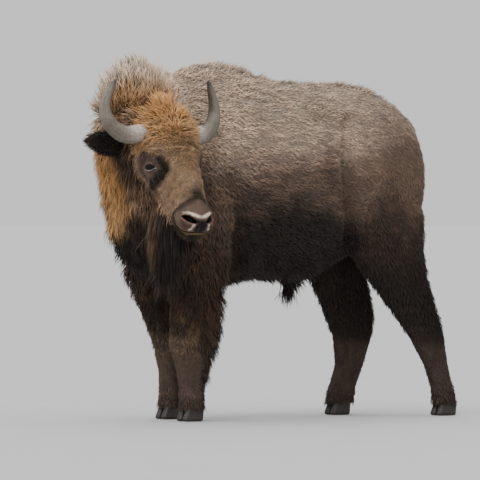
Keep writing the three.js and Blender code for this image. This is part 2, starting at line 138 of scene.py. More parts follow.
def mesh_object(name, points, faces):
    """A new object from points in the animal frame and triangles."""
    mesh = bpy.data.meshes.new(name)
    mesh.vertices.add(len(points))
    mesh.vertices.foreach_set("co", (points + ORIGIN).astype(np.float32).ravel())
    mesh.loops.add(len(faces) * 3)
    mesh.loops.foreach_set("vertex_index", faces.astype(np.int32).ravel())
    mesh.polygons.add(len(faces))
    mesh.polygons.foreach_set("loop_start", np.arange(len(faces), dtype=np.int32) * 3)
    mesh.polygons.foreach_set("use_smooth", np.ones(len(faces), bool))
    mesh.update(calc_edges=True)
    obj = bpy.data.objects.new(name, mesh)
    bpy.context.scene.collection.objects.link(obj)
    return obj


def paint(obj, name, colours):
    """Stores one linear colour for each vertex."""
    layer = obj.data.color_attributes.new(name, "FLOAT_COLOR", "POINT")
    rgba = np.ones((len(colours), 4), np.float32)
    rgba[:, :3] = colours
    layer.data.foreach_set("color", rgba.ravel())


def numbers(obj, name, values):
    """Stores one number for each vertex."""
    layer = obj.data.attributes.new(name, "FLOAT", "POINT")
    layer.data.foreach_set("value", values.astype(np.float32))


def face_normals(points, faces):
    a, b, c = (points[faces[:, i]] for i in range(3))
    return np.cross(b - a, c - a)


def gather(faces, values, count):
    """Adds each face's values to its three corners."""
    out = np.zeros((count, values.shape[1]))
    for k in range(values.shape[1]):
        for corner in range(3):
            out[:, k] += np.bincount(faces[:, corner], values[:, k], count)
    return out


def point_normals(points, faces):
    return unit(gather(faces, face_normals(points, faces), len(points)))


class Smoother:
    """Averages numbers with those of the neighbouring vertices of a triangle mesh."""

    def __init__(self, faces, count):
        self.count = count
        pairs = np.concatenate([faces[:, [0, 1]], faces[:, [1, 2]], faces[:, [2, 0]]])
        self.pairs = np.unique(np.sort(pairs, axis=1), axis=0)
        self.degree = np.maximum(np.bincount(self.pairs.ravel(), minlength=count), 1)

    def around(self, values):
        a, b = self.pairs.T
        columns = values.reshape(self.count, -1)
        out = np.empty_like(columns)
        for k in range(columns.shape[1]):
            total = np.bincount(a, columns[b, k], self.count) + np.bincount(b, columns[a, k], self.count)
            out[:, k] = total / self.degree
        return out.reshape(values.shape)

    def blurred(self, values, rounds, share=0.5):
        for _ in range(rounds):
            values = values + share * (self.around(values) - values)
        return values

    def relaxed(self, points, rounds, weight=1.0):
        """Smooths a surface while nearly keeping its volume."""
        weight = np.broadcast_to(np.asarray(weight, float).reshape(-1, 1), (len(points), 1))
        for _ in range(rounds):
            for share in (0.5, -0.52):
                points = points + share * weight * (self.around(points) - points)
        return points


# ---- the lie and length of the coat, by part of the body ----
# depth: how far the skin lies inside the coat's outline; length and width in metres; lift in degrees;
# roots per square metre; droop: how far the tips turn downwards; curl in degrees.
COAT_KEYS = ("depth", "length", "width", "lift", "roots", "droop", "curl")
COAT = {kind: dict(zip(COAT_KEYS, row)) for kind, *row in [
    ("barrel", 0.012, 0.027, 0.0055, 20, 21000, 0.1, 26),
    ("forequarters", 0.015, 0.031, 0.0058, 22, 21000, 0.1, 30),
    ("hindquarters", 0.010, 0.022, 0.0052, 18, 21000, 0.1, 24),
    ("neck", 0.040, 0.084, 0.0058, 25, 26000, 0.9, 22),
    ("head", 0.009, 0.018, 0.0031, 18, 100000, 0.1, 24),
    ("muzzle", 0.002, 0.007, 0.0021, 20, 95000, 0.0, 18),
    ("beard", 0.034, 0.130, 0.0055, 13, 26000, 1.6, 16),
    ("ear", 0.005, 0.028, 0.0038, 20, 42000, 0.5, 18),
    ("arm", 0.017, 0.056, 0.0060, 24, 19000, 0.8, 24),
    ("forearm", 0.009, 0.028, 0.0050, 20, 24000, 0.3, 16),
    ("thigh", 0.008, 0.027, 0.0052, 22, 19000, 0.2, 22),
    ("gaskin", 0.006, 0.028, 0.0050, 22, 21000, 0.2, 16),
    ("cannon", 0.003, 0.014, 0.0036, 15, 40000, 0.0, 16),
    ("pastern", 0.001, 0.020, 0.0040, 20, 38000, 0.4, 16),
    ("tail_tuft", 0.015, 0.085, 0.0050, 7, 24000, 1.4, 9),
    ("tail", 0.008, 0.028, 0.0055, 14, 17000, 0.4, 14),
    ("sheath_tuft", 0.028, 0.085, 0.0046, 10, 40000, 1.3, 16),
]}


def kind_of(name):
    """The row of COAT that a CAD node follows."""
    if name in COAT:
        return name
    if name.startswith("ear"):
        return "ear"
    return name.split("_")[-1]


KINDS = list(COAT)
KIND_OF_NODE = np.array([KINDS.index(kind_of(name)) for name in FLESH])


def coat_number(key, kinds):
    return np.array([COAT[kind][key] for kind in KINDS])[kinds]


# ---- skin ----
VOXEL = 0.011
GROWTH = 0.0012


def node_arrays(name):
    """A CAD node's points in the animal frame, with doubled points merged, and its triangles."""
    mesh = NODES[name].data
    points = points_of(mesh) - ORIGIN
    _, first, merged = np.unique(np.round(points, 6), axis=0, return_index=True, return_inverse=True)
    return points[first], merged.ravel()[triangles_of(mesh)]


def stacked(parts):
    """Several (points, triangles) as one, with the number of the part that each triangle came from."""
    offsets = np.cumsum([0] + [len(points) for points, _ in parts[:-1]])
    points = np.concatenate([points for points, _ in parts])
    faces = np.concatenate([faces + offset for (_, faces), offset in zip(parts, offsets)])
    owners = np.concatenate([np.full(len(faces), i) for i, (_, faces) in enumerate(parts)])
    return points, faces, owners


def arrays_from(made):
    """The points and triangles of a bmesh, which is then freed."""
    mesh = bpy.data.meshes.new("made")
    made.to_mesh(mesh)
    made.free()
    return points_of(mesh), triangles_of(mesh)


def sphere(radius, subdivisions):
    made = bmesh.new()
    bmesh.ops.create_icosphere(made, subdivisions=subdivisions, radius=radius)
    return arrays_from(made)


def grown(part):
    points, faces = part
    return points + GROWTH * point_normals(points, faces), faces


def horn_points(side):
    return HEAD_AT + np.stack([-side * HORN_LINE[:, 0], HORN_LINE[:, 1], HORN_LINE[:, 2]], axis=1)


def remeshed(parts, voxel):
    """One closed surface round all the parts."""
    points, faces, _ = stacked([grown(part) for part in parts])
    obj = mesh_object("block", points, faces)
    step = obj.modifiers.new("voxels", "REMESH")
    step.mode = "VOXEL"
    step.voxel_size = voxel
    found = obj.evaluated_get(bpy.context.evaluated_depsgraph_get())
    mesh = bpy.data.meshes.new_from_object(found)
    result = points_of(mesh) - ORIGIN, triangles_of(mesh)
    bpy.data.objects.remove(obj)
    return result


def refined(points, faces, chosen):
    """Splits in four each triangle whose corners are all chosen, and its neighbours to match."""
    made = bmesh.new()
    for p in points:
        made.verts.new(p)
    made.verts.ensure_lookup_table()
    for a, b, c in faces.tolist():
        made.faces.new((made.verts[a], made.verts[b], made.verts[c]))
    made.verts.index_update()
    edges = [e for e in made.edges if chosen[e.verts[0].index] and chosen[e.verts[1].index]]
    bmesh.ops.subdivide_edges(made, edges=edges, cuts=1, use_grid_fill=True)
    bmesh.ops.triangulate(made, faces=made.faces)
    return arrays_from(made)


def nearest_nodes(points, tree, owners):
    """The kind of coat at each point, from the nearest CAD node."""
    found = [tree.find_nearest(p)[2] for p in points.tolist()]
    return KIND_OF_NODE[owners[np.array(found)]]


# ---- places on the head, in the head frame, given for its right side ----
EYE_FORWARD = math.radians(30)
LEVEL = np.array([-0.588, 0.0, 0.809])
UPWARDS = np.array([0.809, 0.0, 0.588])
LID_RADIUS = 0.0245
SOCKET_RADIUS = 0.0165
SLIT_HALF = math.radians(62)
SLIT_UP = math.radians(24)
SLIT_DOWN = math.radians(21)
# Lines on the skin of the face, in mm, folded onto its right side; body_skin moves them onto the skin itself.
LINES = {name: np.array(line) / MM_PER_M for name, line in {
    "nostril": [(-448, 72, -14), (-462, 64, -3), (-476, 51, 3), (-488, 32, 1)],
    "mouth": [(-395, 80, -98), (-430, 82, -88), (-468, 76, -74), (-499, 54, -60),
              (-512, 24, -52), (-513, 0, -50)],
    "rim": [(-438, 68, -2), (-448, 55, 12), (-460, 38, 18), (-470, 18, 18),
            (-474, 0, 15)],
    "drop": [(-497, 36, -10), (-503, 42, -22), (-506, 50, -36)],
    "crescent": [(-85, 135, -34), (-110, 130, -6), (-140, 118, 10), (-168, 102, 22),
                 (-200, 94, 20), (-217, 99, -6), (-216, 104, -46), (-212, 103, -92),
                 (-220, 97, -124)],
    "fold": [(-397, 76, -85), (-397, 76, -54), (-400, 72, -20), (-402, 55, 14),
             (-390, 25, 39), (-374, 0, 46)],
}.items()}


def mirrored(points):
    """Points with both sides folded onto the one of +Y."""
    return points * np.array([1, 0, 1]) + np.abs(points) * np.array([0, 1, 0])


def eye_axes():
    """Outwards, towards the inner corner, and up, for the right eye."""
    side = np.array([0.0, 1.0, 0.0])
    out = unit(math.cos(EYE_FORWARD) * side + math.sin(EYE_FORWARD) * LEVEL - 0.08 * UPWARDS)
    along = unit(LEVEL - out * (LEVEL @ out))
    up = np.cross(along, out)
    return out, along, up if up @ UPWARDS > 0 else -up


def around_eye(points):
    """For folded head points: distance from the eye's centre, angle from its axis, angles along and up."""
    out, along, up = eye_axes()
    away = points - EYE_AT
    distance = np.linalg.norm(away, axis=1)
    way = away / np.maximum(distance, 1e-6)[:, None]
    angle = np.arccos(np.clip(way @ out, -1, 1))
    return distance, angle, np.arctan2(way @ along, way @ out), np.arcsin(np.clip(way @ up, -1, 1))


def slit_distance(points):
    """How far outside the opening of the lids each point is, in metres; below 0 is inside."""
    along, up = around_eye(points)[2:]
    arch = np.clip(1 - (along / SLIT_HALF) ** 2, 0, 1) ** 0.8
    over = np.where(up > 0, np.abs(up) - SLIT_UP * arch, np.abs(up) - SLIT_DOWN * arch)
    beyond = np.maximum(np.abs(along) - SLIT_HALF, 0)
    return LID_RADIUS * np.maximum(over, beyond)


def line_distance(points, line):
    """Distance to a broken line and how far along it, from 0 to 1, the nearest place is."""
    line = np.array(line)
    best = np.full(len(points), 9.0)
    share = np.zeros(len(points))
    for i in range(len(line) - 1):
        step = line[i + 1] - line[i]
        t = np.clip(((points - line[i]) @ step) / (step @ step), 0, 1)
        gap = np.linalg.norm(points - line[i] - t[:, None] * step, axis=1)
        share = np.where(gap < best, (i + t) / (len(line) - 1), share)
        best = np.minimum(best, gap)
    return best, share


def snapped(line, points, faces):
    """A finer line whose points lie on the surface."""
    tree = BVHTree.FromPolygons(points.tolist(), faces.tolist())
    stations = curve_through(np.array(line), 4 * len(line))
    return np.array([tree.find_nearest(p)[0] for p in stations.tolist()])


def curve_through(stations, count):
    """A smooth curve through the stations, at evenly spaced values of the station number."""
    places = np.linspace(0, len(stations) - 1, count)
    i = np.minimum(places.astype(int), len(stations) - 2)
    t = (places - i)[:, None]
    padded = np.concatenate([2 * stations[:1] - stations[1:2], stations, 2 * stations[-1:] - stations[-2:-1]])
    p0, p1, p2, p3 = (padded[i + k] for k in range(4))
    return 0.5 * (2 * p1 + (p2 - p0) * t + (2 * p0 - 5 * p1 + 4 * p2 - p3) * t ** 2
                  + (3 * p1 - p0 - 3 * p2 + p3) * t ** 3)


# Swellings (+) and hollows (-) of the face: centre, radii and height in mm, folded onto the right side.
FACE_FORMS = np.array([
    (-118, 126, 2, 40, 30, 26, 12),  # brow over the eye
    (-200, 100, -6, 34, 34, 30, -12),  # hollow before the eye
    (-206, 104, -62, 40, 30, 20, -6),  # groove below the inner corner
    (-150, 124, -88, 50, 30, 18, 8),  # cheekbone
    (-120, 110, -150, 90, 40, 50, 10),  # chewing muscle
    (-300, 0, 56, 100, 40, 30, 5),  # bridge of the nose
    (-320, 66, -6, 60, 30, 30, -6),  # hollow beside the bridge
    (-340, 70, -80, 60, 30, 30, 8),  # cheek behind the mouth
    (-436, 74, -52, 36, 30, 28, 5),  # upper lip
    (-486, 62, -24, 20, 20, 18, 6),  # below the nostril
    (-505, 0, -20, 30, 9, 36, -3),  # groove of the nose pad
    (-500, 0, -90, 40, 60, 30, -10),  # chin, drawn in under the lip
    (-450, 70, -110, 50, 30, 30, -8),  # side of the chin
]) / MM_PER_M
# The same on the trunk, folded onto one side: points of a line, breadth and height in mm; lay_trunk also
# paints shade along the hollows.
TRUNK_FORMS = [(np.array(line) / MM_PER_M, breadth / MM_PER_M, rise / MM_PER_M) for line, breadth, rise in [
    ([(782, 190, 1350), (756, 215, 1290), (740, 240, 1160), (744, 245, 1030), (766, 225, 900),
      (790, 195, 800)], 24, -30),  # fold before the thigh
    ([(822, 215, 1310), (806, 240, 1180), (812, 245, 1050), (830, 230, 930)], 45, 18),
    ([(840, 170, 1400), (880, 180, 1370)], 40, 14),  # hip bone
    ([(710, 200, 1370), (630, 200, 1380)], 50, -12),  # hollow before the hip
    ([(1090, 190, 1290), (1130, 180, 1230)], 50, 10),  # seat bone
    ([(1000, 240, 1180), (1020, 240, 1020), (1030, 230, 900)], 50, -9),  # between the thigh muscles
    ([(112, 262, 1090), (140, 268, 985), (160, 262, 890), (154, 250, 810),
      (190, 190, 700)], 26, -30),  # behind the arm
    ([(66, 262, 1050), (80, 268, 950), (84, 255, 840)], 50, 14),  # back of the upper arm
    ([(85, 240, 1330), (70, 262, 1200)], 70, 10),  # shoulder blade
    ([(-20, 230, 1330), (-30, 240, 1150), (-20, 240, 1000)], 40, -10),  # before the shoulder
    ([(520, 265, 1220), (560, 265, 1000)], 100, 10),  # ribs
]]
NOSTRIL_DEPTH = 0.026
HORN_PLUG = 0.044
SMALL = ("head", "muzzle", "ear", "cannon", "pastern", "tail", "tail_tuft")
MOUTH_DEPTH = 0.005
EAR_TIPS = {
    1: (np.array([-0.350, -0.240, 1.204]), np.array([-0.566, -0.162, 1.246]), np.array([-0.35, -1.0, -0.15])),
    -1: (np.array([-0.160, -0.262, 1.205]), np.array([-0.044, -0.236, 1.118]), np.array([0.5, -1.0, 0.0])),
}


def nostril_breadth(share):
    """Half the width of the nostril along its line, from its outer end to its round inner one."""
    return 0.0040 + 0.0088 * np.sin(np.pi * np.clip(share * 0.85, 0, 1)) ** 0.8


def sculpt_trunk(points, normals):
    """Moves the skin of the trunk: muscles, bones and folds."""
    folded = mirrored(points)
    height = np.zeros(len(points))
    for line, breadth, rise in TRUNK_FORMS:
        height += rise * np.exp(-((line_distance(folded, line)[0] / breadth) ** 2))
    return points + height[:, None] * normals


def sculpt_face(points, normals):
    """Moves the skin of the face: forms, folds, nostrils and mouth."""
    spots = mirrored(to_head(points))
    height = np.zeros(len(points))
    for row in FACE_FORMS:
        height += row[6] * blob(spots, row[:3], row[3:6])
    gap, share = line_distance(spots, LINES["nostril"])
    opening = nostril_breadth(share)
    height -= NOSTRIL_DEPTH * ramp(gap, opening * 1.15, opening * 0.5)
    height += 0.0045 * np.exp(-(((gap - opening * 1.7) / 0.006) ** 2))
    gap, _ = line_distance(spots, LINES["mouth"])
    height -= MOUTH_DEPTH * np.exp(-((gap / 0.0045) ** 2))
    wrinkles = blob(spots, (-0.415, 0.060, -0.020), (0.030, 0.060, 0.060))
    height += 0.0016 * wrinkles * np.sin(spots[:, 0] * 620 + spots[:, 2] * 240)
    return points + height[:, None] * normals


def sculpt_lids(points):
    """Wraps the skin round the eyeballs, with an opening, lids with rims, and folds above and below."""
    head = to_head(points)
    spots = mirrored(head)
    distance, angle, _, up = around_eye(spots)
    gap = slit_distance(spots)
    lid = LID_RADIUS + 0.0014 * np.exp(-(((gap - 0.002) / 0.0022) ** 2))
    lid -= 0.0030 * np.exp(-(((gap - 0.0090) / 0.0024) ** 2)) * ramp(up, -0.05, 0.15)
    lid += 0.0030 * ramp(gap, 0.0095, 0.0150) * ramp(up, 0.0, 0.3)
    lid -= 0.0018 * np.exp(-(((gap - 0.0080) / 0.0020) ** 2)) * ramp(up, 0.05, -0.15)
    lid -= 0.0016 * np.exp(-(((gap - 0.0150) / 0.0026) ** 2)) * ramp(up, 0.05, -0.15)
    wanted = lid + (SOCKET_RADIUS - lid) * ramp(gap, 0.0009, -0.0013)
    cap = ramp(angle, math.radians(100), math.radians(62)) * ramp(distance, 0.050, 0.034)
    radius = distance + cap * (wanted - distance)
    moved = EYE_AT + (spots - EYE_AT) * (radius / np.maximum(distance, 1e-6))[:, None]
    change = (moved - spots) * np.stack([np.ones(len(head)), np.sign(head[:, 1]), np.ones(len(head))], axis=1)
    near = distance < 0.06
    return np.where(near[:, None], points + change @ HEAD_AXES.T, points)


def sculpt_ears(points, normals, kinds):
    """Hollows the ears on the side of their openings."""
    is_ear = kinds == KINDS.index("ear")
    moved = points.copy()
    for root, tip, opening in EAR_TIPS.values():
        along = tip - root
        share = (points - root) @ along / (along @ along)
        axis = root + share[:, None] * along
        across = np.linalg.norm(points - axis, axis=1)
        facing = ramp(normals @ unit(opening), 0.1, 0.7)
        hollow = ramp(share, 0.02, 0.2) * ramp(share, 0.95, 0.6) * ramp(across, 0.042, 0.012)
        near = is_ear & (np.abs(share - 0.5) < 0.8) & (across < 0.09)
        moved -= (0.016 * facing * hollow * near)[:, None] * unit(opening)
    return moved


CREST_LOW, CREST_HIGH = 1.26, 1.44


def spine_region(points):
    """1 along the ridge of the back, where longer hair stands up."""
    x, y, z = points.T
    return ramp(np.abs(y), 0.075, 0.030) * ramp(z, 1.34, 1.42) * ramp(x, 0.05, 0.20)


def skin_depth(points, kinds):
    """How far the skin lies inside the outline of the coat."""
    spots = to_head(points)
    depth = coat_number("depth", kinds)
    head, neck, barrel = (shares(kinds, name) for name in ("head", "neck", "barrel"))
    pad = head * blob(spots, (0.06, 0.0, 0.05), (0.14, 0.15, 0.12))
    jaw = head * blob(mirrored(spots), (-0.28, 0.08, -0.13), (0.12, 0.08, 0.04))
    crest = neck * ramp(points[:, 2], CREST_LOW, CREST_HIGH)
    spine = (1 - neck) * spine_region(points)
    belly = barrel * ramp(points[:, 2], 0.76, 0.68)
    return depth + 0.038 * pad + 0.012 * jaw + 0.020 * crest + 0.014 * spine + 0.018 * belly


def body_skin():
    """The skin under the coat: points, the same before the face is shaped, triangles, kinds, smoother."""
    parts = [node_arrays(name) for name in FLESH]
    cad_points, cad_faces, owners = stacked(parts)
    tree = BVHTree.FromPolygons(cad_points.tolist(), cad_faces.tolist())
    plugs = [node_arrays(name) for name in EYES]
    for side in (1, -1):
        points, faces = sphere(HORN_PLUG, 2)
        plugs.append((points + horn_points(side)[0], faces))
    points, faces = remeshed(parts + plugs, VOXEL)
    kinds = nearest_nodes(points, tree, owners)
    smoother = Smoother(faces, len(points))
    points = smoother.relaxed(points, 36, np.where(shares(kinds, *SMALL) > 0, 0.5, 1.0))
    depth = smoother.blurred(skin_depth(points, kinds), 12)
    points = sculpt_trunk(points, point_normals(points, faces))
    points = points - depth[:, None] * point_normals(points, faces)
    points = smoother.relaxed(points, 4)
    points[:, 2] -= 0.020 * ramp(points[:, 2], 0.12, 0.066)
    for region in (head_region, muzzle_region, eye_region):
        points, faces = refined(points, faces, region(points))
        smoother = Smoother(faces, len(points))
        points = smoother.relaxed(points, 4, region(points).astype(float))
    kinds = nearest_nodes(points, tree, owners)
    for name, line in LINES.items():
        LINES[name] = snapped(line, to_head(points), faces)
    flat = points
    points = sculpt_face(points, point_normals(points, faces))
    points = sculpt_ears(points, point_normals(points, faces), kinds)
    points = sculpt_lids(points)
    return points, flat, faces, kinds, smoother


def head_region(points):
    spots = mirrored(to_head(points))
    ears = np.zeros(len(points), bool)
    for root, tip, _ in EAR_TIPS.values():
        gap, share = line_distance(points, np.array([root, tip]))
        ears |= (gap < 0.075) & (share > 0.05)
    face = (spots[:, 0] > -0.56) & (spots[:, 0] < 0.02) & (spots[:, 1] < 0.17) & (spots[:, 2] > -0.16)
    return face | ears


def muzzle_region(points):
    spots = mirrored(to_head(points))
    muzzle = (spots[:, 0] > -0.55) & (spots[:, 0] < -0.37) & (spots[:, 2] > -0.125) & (spots[:, 1] < 0.09)
    return muzzle | (np.linalg.norm(spots - EYE_AT, axis=1) < 0.06)


def eye_region(points):
    spots = mirrored(to_head(points))
    nose = line_distance(spots, LINES["nostril"])[0] < 0.026
    return nose | (np.linalg.norm(spots - EYE_AT, axis=1) < 0.040)


# ---- markings ----
# Colours as they look on screen.
TAN = (200, 177, 157)
BROWN = (122, 100, 86)
UMBER = (64, 50, 42)
DARK = (36, 29, 26)
BLACK = (24, 19, 18)
ASH = (200, 182, 164)
SPINE = (118, 101, 90)
GOLD = (200, 149, 92)
OCHRE = (190, 147, 100)
NECK_BROWN = (134, 106, 82)
FACE = (170, 141, 112)
CHEEK = (166, 136, 110)
GREY_SKIN = (116, 96, 89)
LID = (34, 28, 27)
MUZZLE_HAIR = (104, 86, 74)
CHIN = (124, 98, 68)
PALE = (234, 216, 194)
NOSE = (24, 20, 19)
PINK = (104, 72, 64)
SHIN = (98, 81, 72)
KNEE = (128, 106, 80)
EYE_PATCH_AT = np.array([-0.163, 0.118, -0.058])
EYE_PATCH_RADII = np.array([0.084, 0.10, 0.068])


def linear(red, green, blue):
    """A colour named as on screen, as light."""
    value = np.array([red, green, blue]) / 255
    return np.where(value <= 0.04045, value / 12.92, ((value + 0.055) / 1.055) ** 2.4)


class Coats:
    """A colour for each point, laid on in turn and only within a share of each."""

    def __init__(self, colour, count):
        self.colour = np.tile(linear(*colour), (count, 1))
        self.within = 1.0

    def lay(self, colour, share=1.0):
        share = np.clip(self.within * share, 0, 1)
        self.colour += (linear(*colour) - self.colour) * share[:, None]


def markings(points, kinds):
    """The animal's colours at points of its skin or coat, in the animal frame."""
    spots = to_head(points)
    rough = wave(points, 0.16, 5) * 0.05 + wave(points, 0.05, 6) * 0.03
    coat = Coats(BROWN, len(points))
    lay_trunk(coat, points, rough)
    lay_legs(coat, points, rough)
    coat.within = shares(kinds, "neck")
    lay_neck(coat, points, rough)
    coat.within = shares(kinds, "head")
    lay_head(coat, spots, rough)
    coat.within = shares(kinds, "head", "muzzle")
    lay_muzzle(coat, spots, shares(kinds, "muzzle"))
    coat.within = shares(kinds, "beard")
    lay_beard(coat, points, rough)
    coat.within = shares(kinds, "ear")
    coat.lay(BLACK)
    coat.lay(UMBER, 0.6 * ramp(points[:, 0], -0.50, -0.57))
    coat.within = shares(kinds, "tail_tuft", "sheath_tuft")
    coat.lay(DARK)
    return coat.colour


def lay_trunk(coat, points, rough):
    """Pale above, brown on the shoulder and haunch, dark between and below partly as painted shade, with
    painted shade in the folds and a painted highlight on the upper shoulder.
    """
    x, _, z = points.T
    folded = mirrored(points)
    uneven = z + rough
    pale_from = 1.00 + 0.09 * ramp(x, 0.20, 0.40)
    coat.lay(TAN, 0.97 * ramp((uneven - pale_from) / (1.25 - pale_from), 0.0, 1.0) * ramp(x, 1.12, 0.72))
    coat.lay(TAN, 0.60 * ramp(uneven, 1.16, 1.40) * ramp(x, 0.72, 0.95))
    # Painted highlight: a paler patch where the upper shoulder's tufts catch the top light.
    coat.lay((236, 210, 184), 0.5 * blob(folded, (0.15, 0.21, 1.33), (0.18, 0.20, 0.12)))
    coat.lay((152, 128, 108), 0.4 * ramp(x, 0.80, 0.92) * ramp(uneven, 0.92, 1.08) * ramp(z, 1.24, 1.14))
    # Darker downwards on the flank and thighs: partly the coat's own darker lower half, partly painted shade
    # away from the top light.
    coat.lay(UMBER, 0.6 * ramp(uneven, 0.96, 0.72))
    coat.lay(DARK, 0.55 * ramp(z + 2.5 * rough, 1.06, 0.78) * ramp(x, 0.70, 0.80))
    between = ramp(x + 1.5 * rough, 0.08, 0.21) * ramp(x + 1.5 * rough, 0.84, 0.66)
    coat.lay(DARK, between * ramp(z + 1.5 * rough, 1.10, 0.86))
    # Painted shade: black on the belly's underside before the thighs, below a line that rises towards the
    # rear.
    groin_shade_line = 0.70 + 0.55 * np.clip(x - 0.58, 0, 0.22)
    coat.lay(BLACK, ramp(z, groin_shade_line + 0.02, groin_shade_line - 0.02) * ramp(x, 0.50, 0.60) * ramp(x, 0.86, 0.80))
    # Painted shade in the folds: umber along each hollow, darker the deeper it is.
    for line, breadth, rise in TRUNK_FORMS:
        fold = np.exp(-((line_distance(folded, line)[0] / (breadth + 0.2 * rough)) ** 2))
        coat.lay(UMBER, max(-rise, 0) / 0.030 * 0.8 * fold)
    coat.lay(SPINE, 0.6 * spine_region(points) * ramp(x, 0.15, 0.28))


def lay_legs(coat, points, rough):
    """Dark upwards from the knee and hock, with a browner arm, grey-brown below, with mottled knees."""
    x, _, z = points.T
    uneven = z + rough
    coat.lay(DARK, 0.75 * ramp(uneven, 0.86, 0.52))
    arm = ramp(x, 0.24, 0.14) * ramp(x, -0.26, -0.18) * ramp(z, 0.90, 0.74)
    coat.lay((96, 71, 54), 0.5 * arm * ramp(wave(points, (0.05, 0.05, 0.12), 16), -0.3, 0.5))
    front = ramp(x, 0.6, 0.4)
    behind = ramp(point_side(points), 0.020, 0.045) * front
    shin = ramp(uneven, 0.40, 0.28) * (1 - 0.8 * behind)
    coat.lay(SHIN, 0.9 * shin * (0.75 + 0.25 * wave(points, (0.02, 0.02, 0.06), 8)))
    coat.lay((132, 111, 98), 0.35 * front * shin)
    mottled = ramp(wave(points, 0.014, 12) + 0.4 * wave(points, 0.04, 13), -0.2, 0.5)
    knee = ramp(uneven, 0.46, 0.38) * ramp(uneven, 0.20, 0.27)
    coat.lay(KNEE, 0.6 * front * (1 - behind) * mottled * knee)
    coat.lay(UMBER, 0.5 * ramp(z, 0.12, 0.08))


def point_side(points):
    """How far behind the middle of its limb each point of the lower foreleg is."""
    x, y, _ = points.T
    return x - np.where(y < 0, -0.022, 0.006)


def lay_neck(coat, points, rough):
    """A grey-brown crest, a golden edge behind the cheek, and a dark throat and chest."""
    x, y, z = points.T
    uneven = z + rough
    coat.within = coat.within * (1 - ramp(x + rough, -0.29, -0.20) * ramp(z, 0.90, 1.00))
    coat.lay(NECK_BROWN)
    coat.lay((66, 50, 42), ramp(uneven, 0.99, 0.91) * ramp(y, -0.08, -0.16))
    coat.lay(DARK, ramp(uneven, 0.92, 0.80))
    edge = 0.11 * ramp(z, 0.94, 0.84) - 0.155
    golden = ramp(y - edge + 0.5 * rough, -0.03, 0.03) * ramp(y + 2 * rough, 0.16, -0.02)
    golden *= ramp(z + 2 * rough, 0.74, 0.86) * ramp(uneven, 1.30, 1.10)
    coat.lay(GOLD, 0.9 * golden)
    coat.lay((208, 170, 122), 0.5 * golden * ramp(z, 1.02, 0.90))
    # Dark hair behind the ear, partly painted shadow cast by the ear.
    coat.lay(DARK, 0.9 * blob(points, (-0.37, -0.215, 1.13), (0.09, 0.07, 0.11)))
    coat.lay((160, 124, 86), ramp(uneven, 1.26, 1.36))
    coat.lay((156, 134, 116), 0.8 * ramp(y + rough, -0.10, -0.03) * ramp(z, 1.18, 1.28))
    outwards = np.linalg.norm(points - NECK_CORE, axis=1) + 0.4 * rough
    coat.lay(ASH, 0.95 * ramp(outwards, 0.24, 0.33) * ramp(z, 1.28, 1.40))


def lay_head(coat, spots, rough):
    """Ochre crown, brown cheeks, grey skin round the eyes with a dark crescent before them."""
    folded = mirrored(spots)
    x, y, z = folded.T
    coat.lay(FACE)
    coat.lay(OCHRE, 0.95 * ramp(x + rough, -0.16, -0.05))
    coat.lay((176, 124, 70), 0.6 * ramp(x, -0.02, 0.05))
    coat.lay((128, 94, 60), 0.6 * blob(spots, (-0.090, 0.0, 0.09), (0.045, 0.080, 0.06)))
    coat.lay((158, 124, 86), 0.7 * blob(spots, (-0.190, 0.0, 0.08), (0.060, 0.060, 0.06)))
    coat.lay(CHEEK, ramp(y + 0.4 * rough, 0.060, 0.085) * ramp(x, -0.16, -0.24))
    coat.lay(CHEEK, ramp(z + rough, -0.06, -0.12))
    coat.lay((112, 92, 80), 0.8 * ramp(z + rough, -0.16, -0.22))
    around = np.linalg.norm((folded - EYE_PATCH_AT) / EYE_PATCH_RADII, axis=1)
    coat.lay(GREY_SKIN, 0.9 * ramp(around + 40 * ragged_edge(folded), 1.15, 0.85))
    crescent, share = line_distance(folded, LINES["crescent"])
    breadth = 0.009 + 0.020 * ramp(share, 0.25, 0.50) + 0.006 * wave(folded, 0.012, 14)
    mottled = 1 - 0.35 * ramp(wave(folded, 0.009, 17), -0.2, 0.6) * ramp(share, 0.55, 0.65)
    coat.lay((30, 23, 22), 0.97 * mottled * ramp(crescent / breadth, 1.35, 0.45))
    coat.lay((150, 124, 108), 0.5 * blob(folded, (-0.160, 0.102, 0.036), (0.050, 0.030, 0.014)))
    coat.lay((66, 56, 53), 0.85 * blob(folded, (-0.362, 0.012, 0.055), (0.032, 0.028, 0.05)))


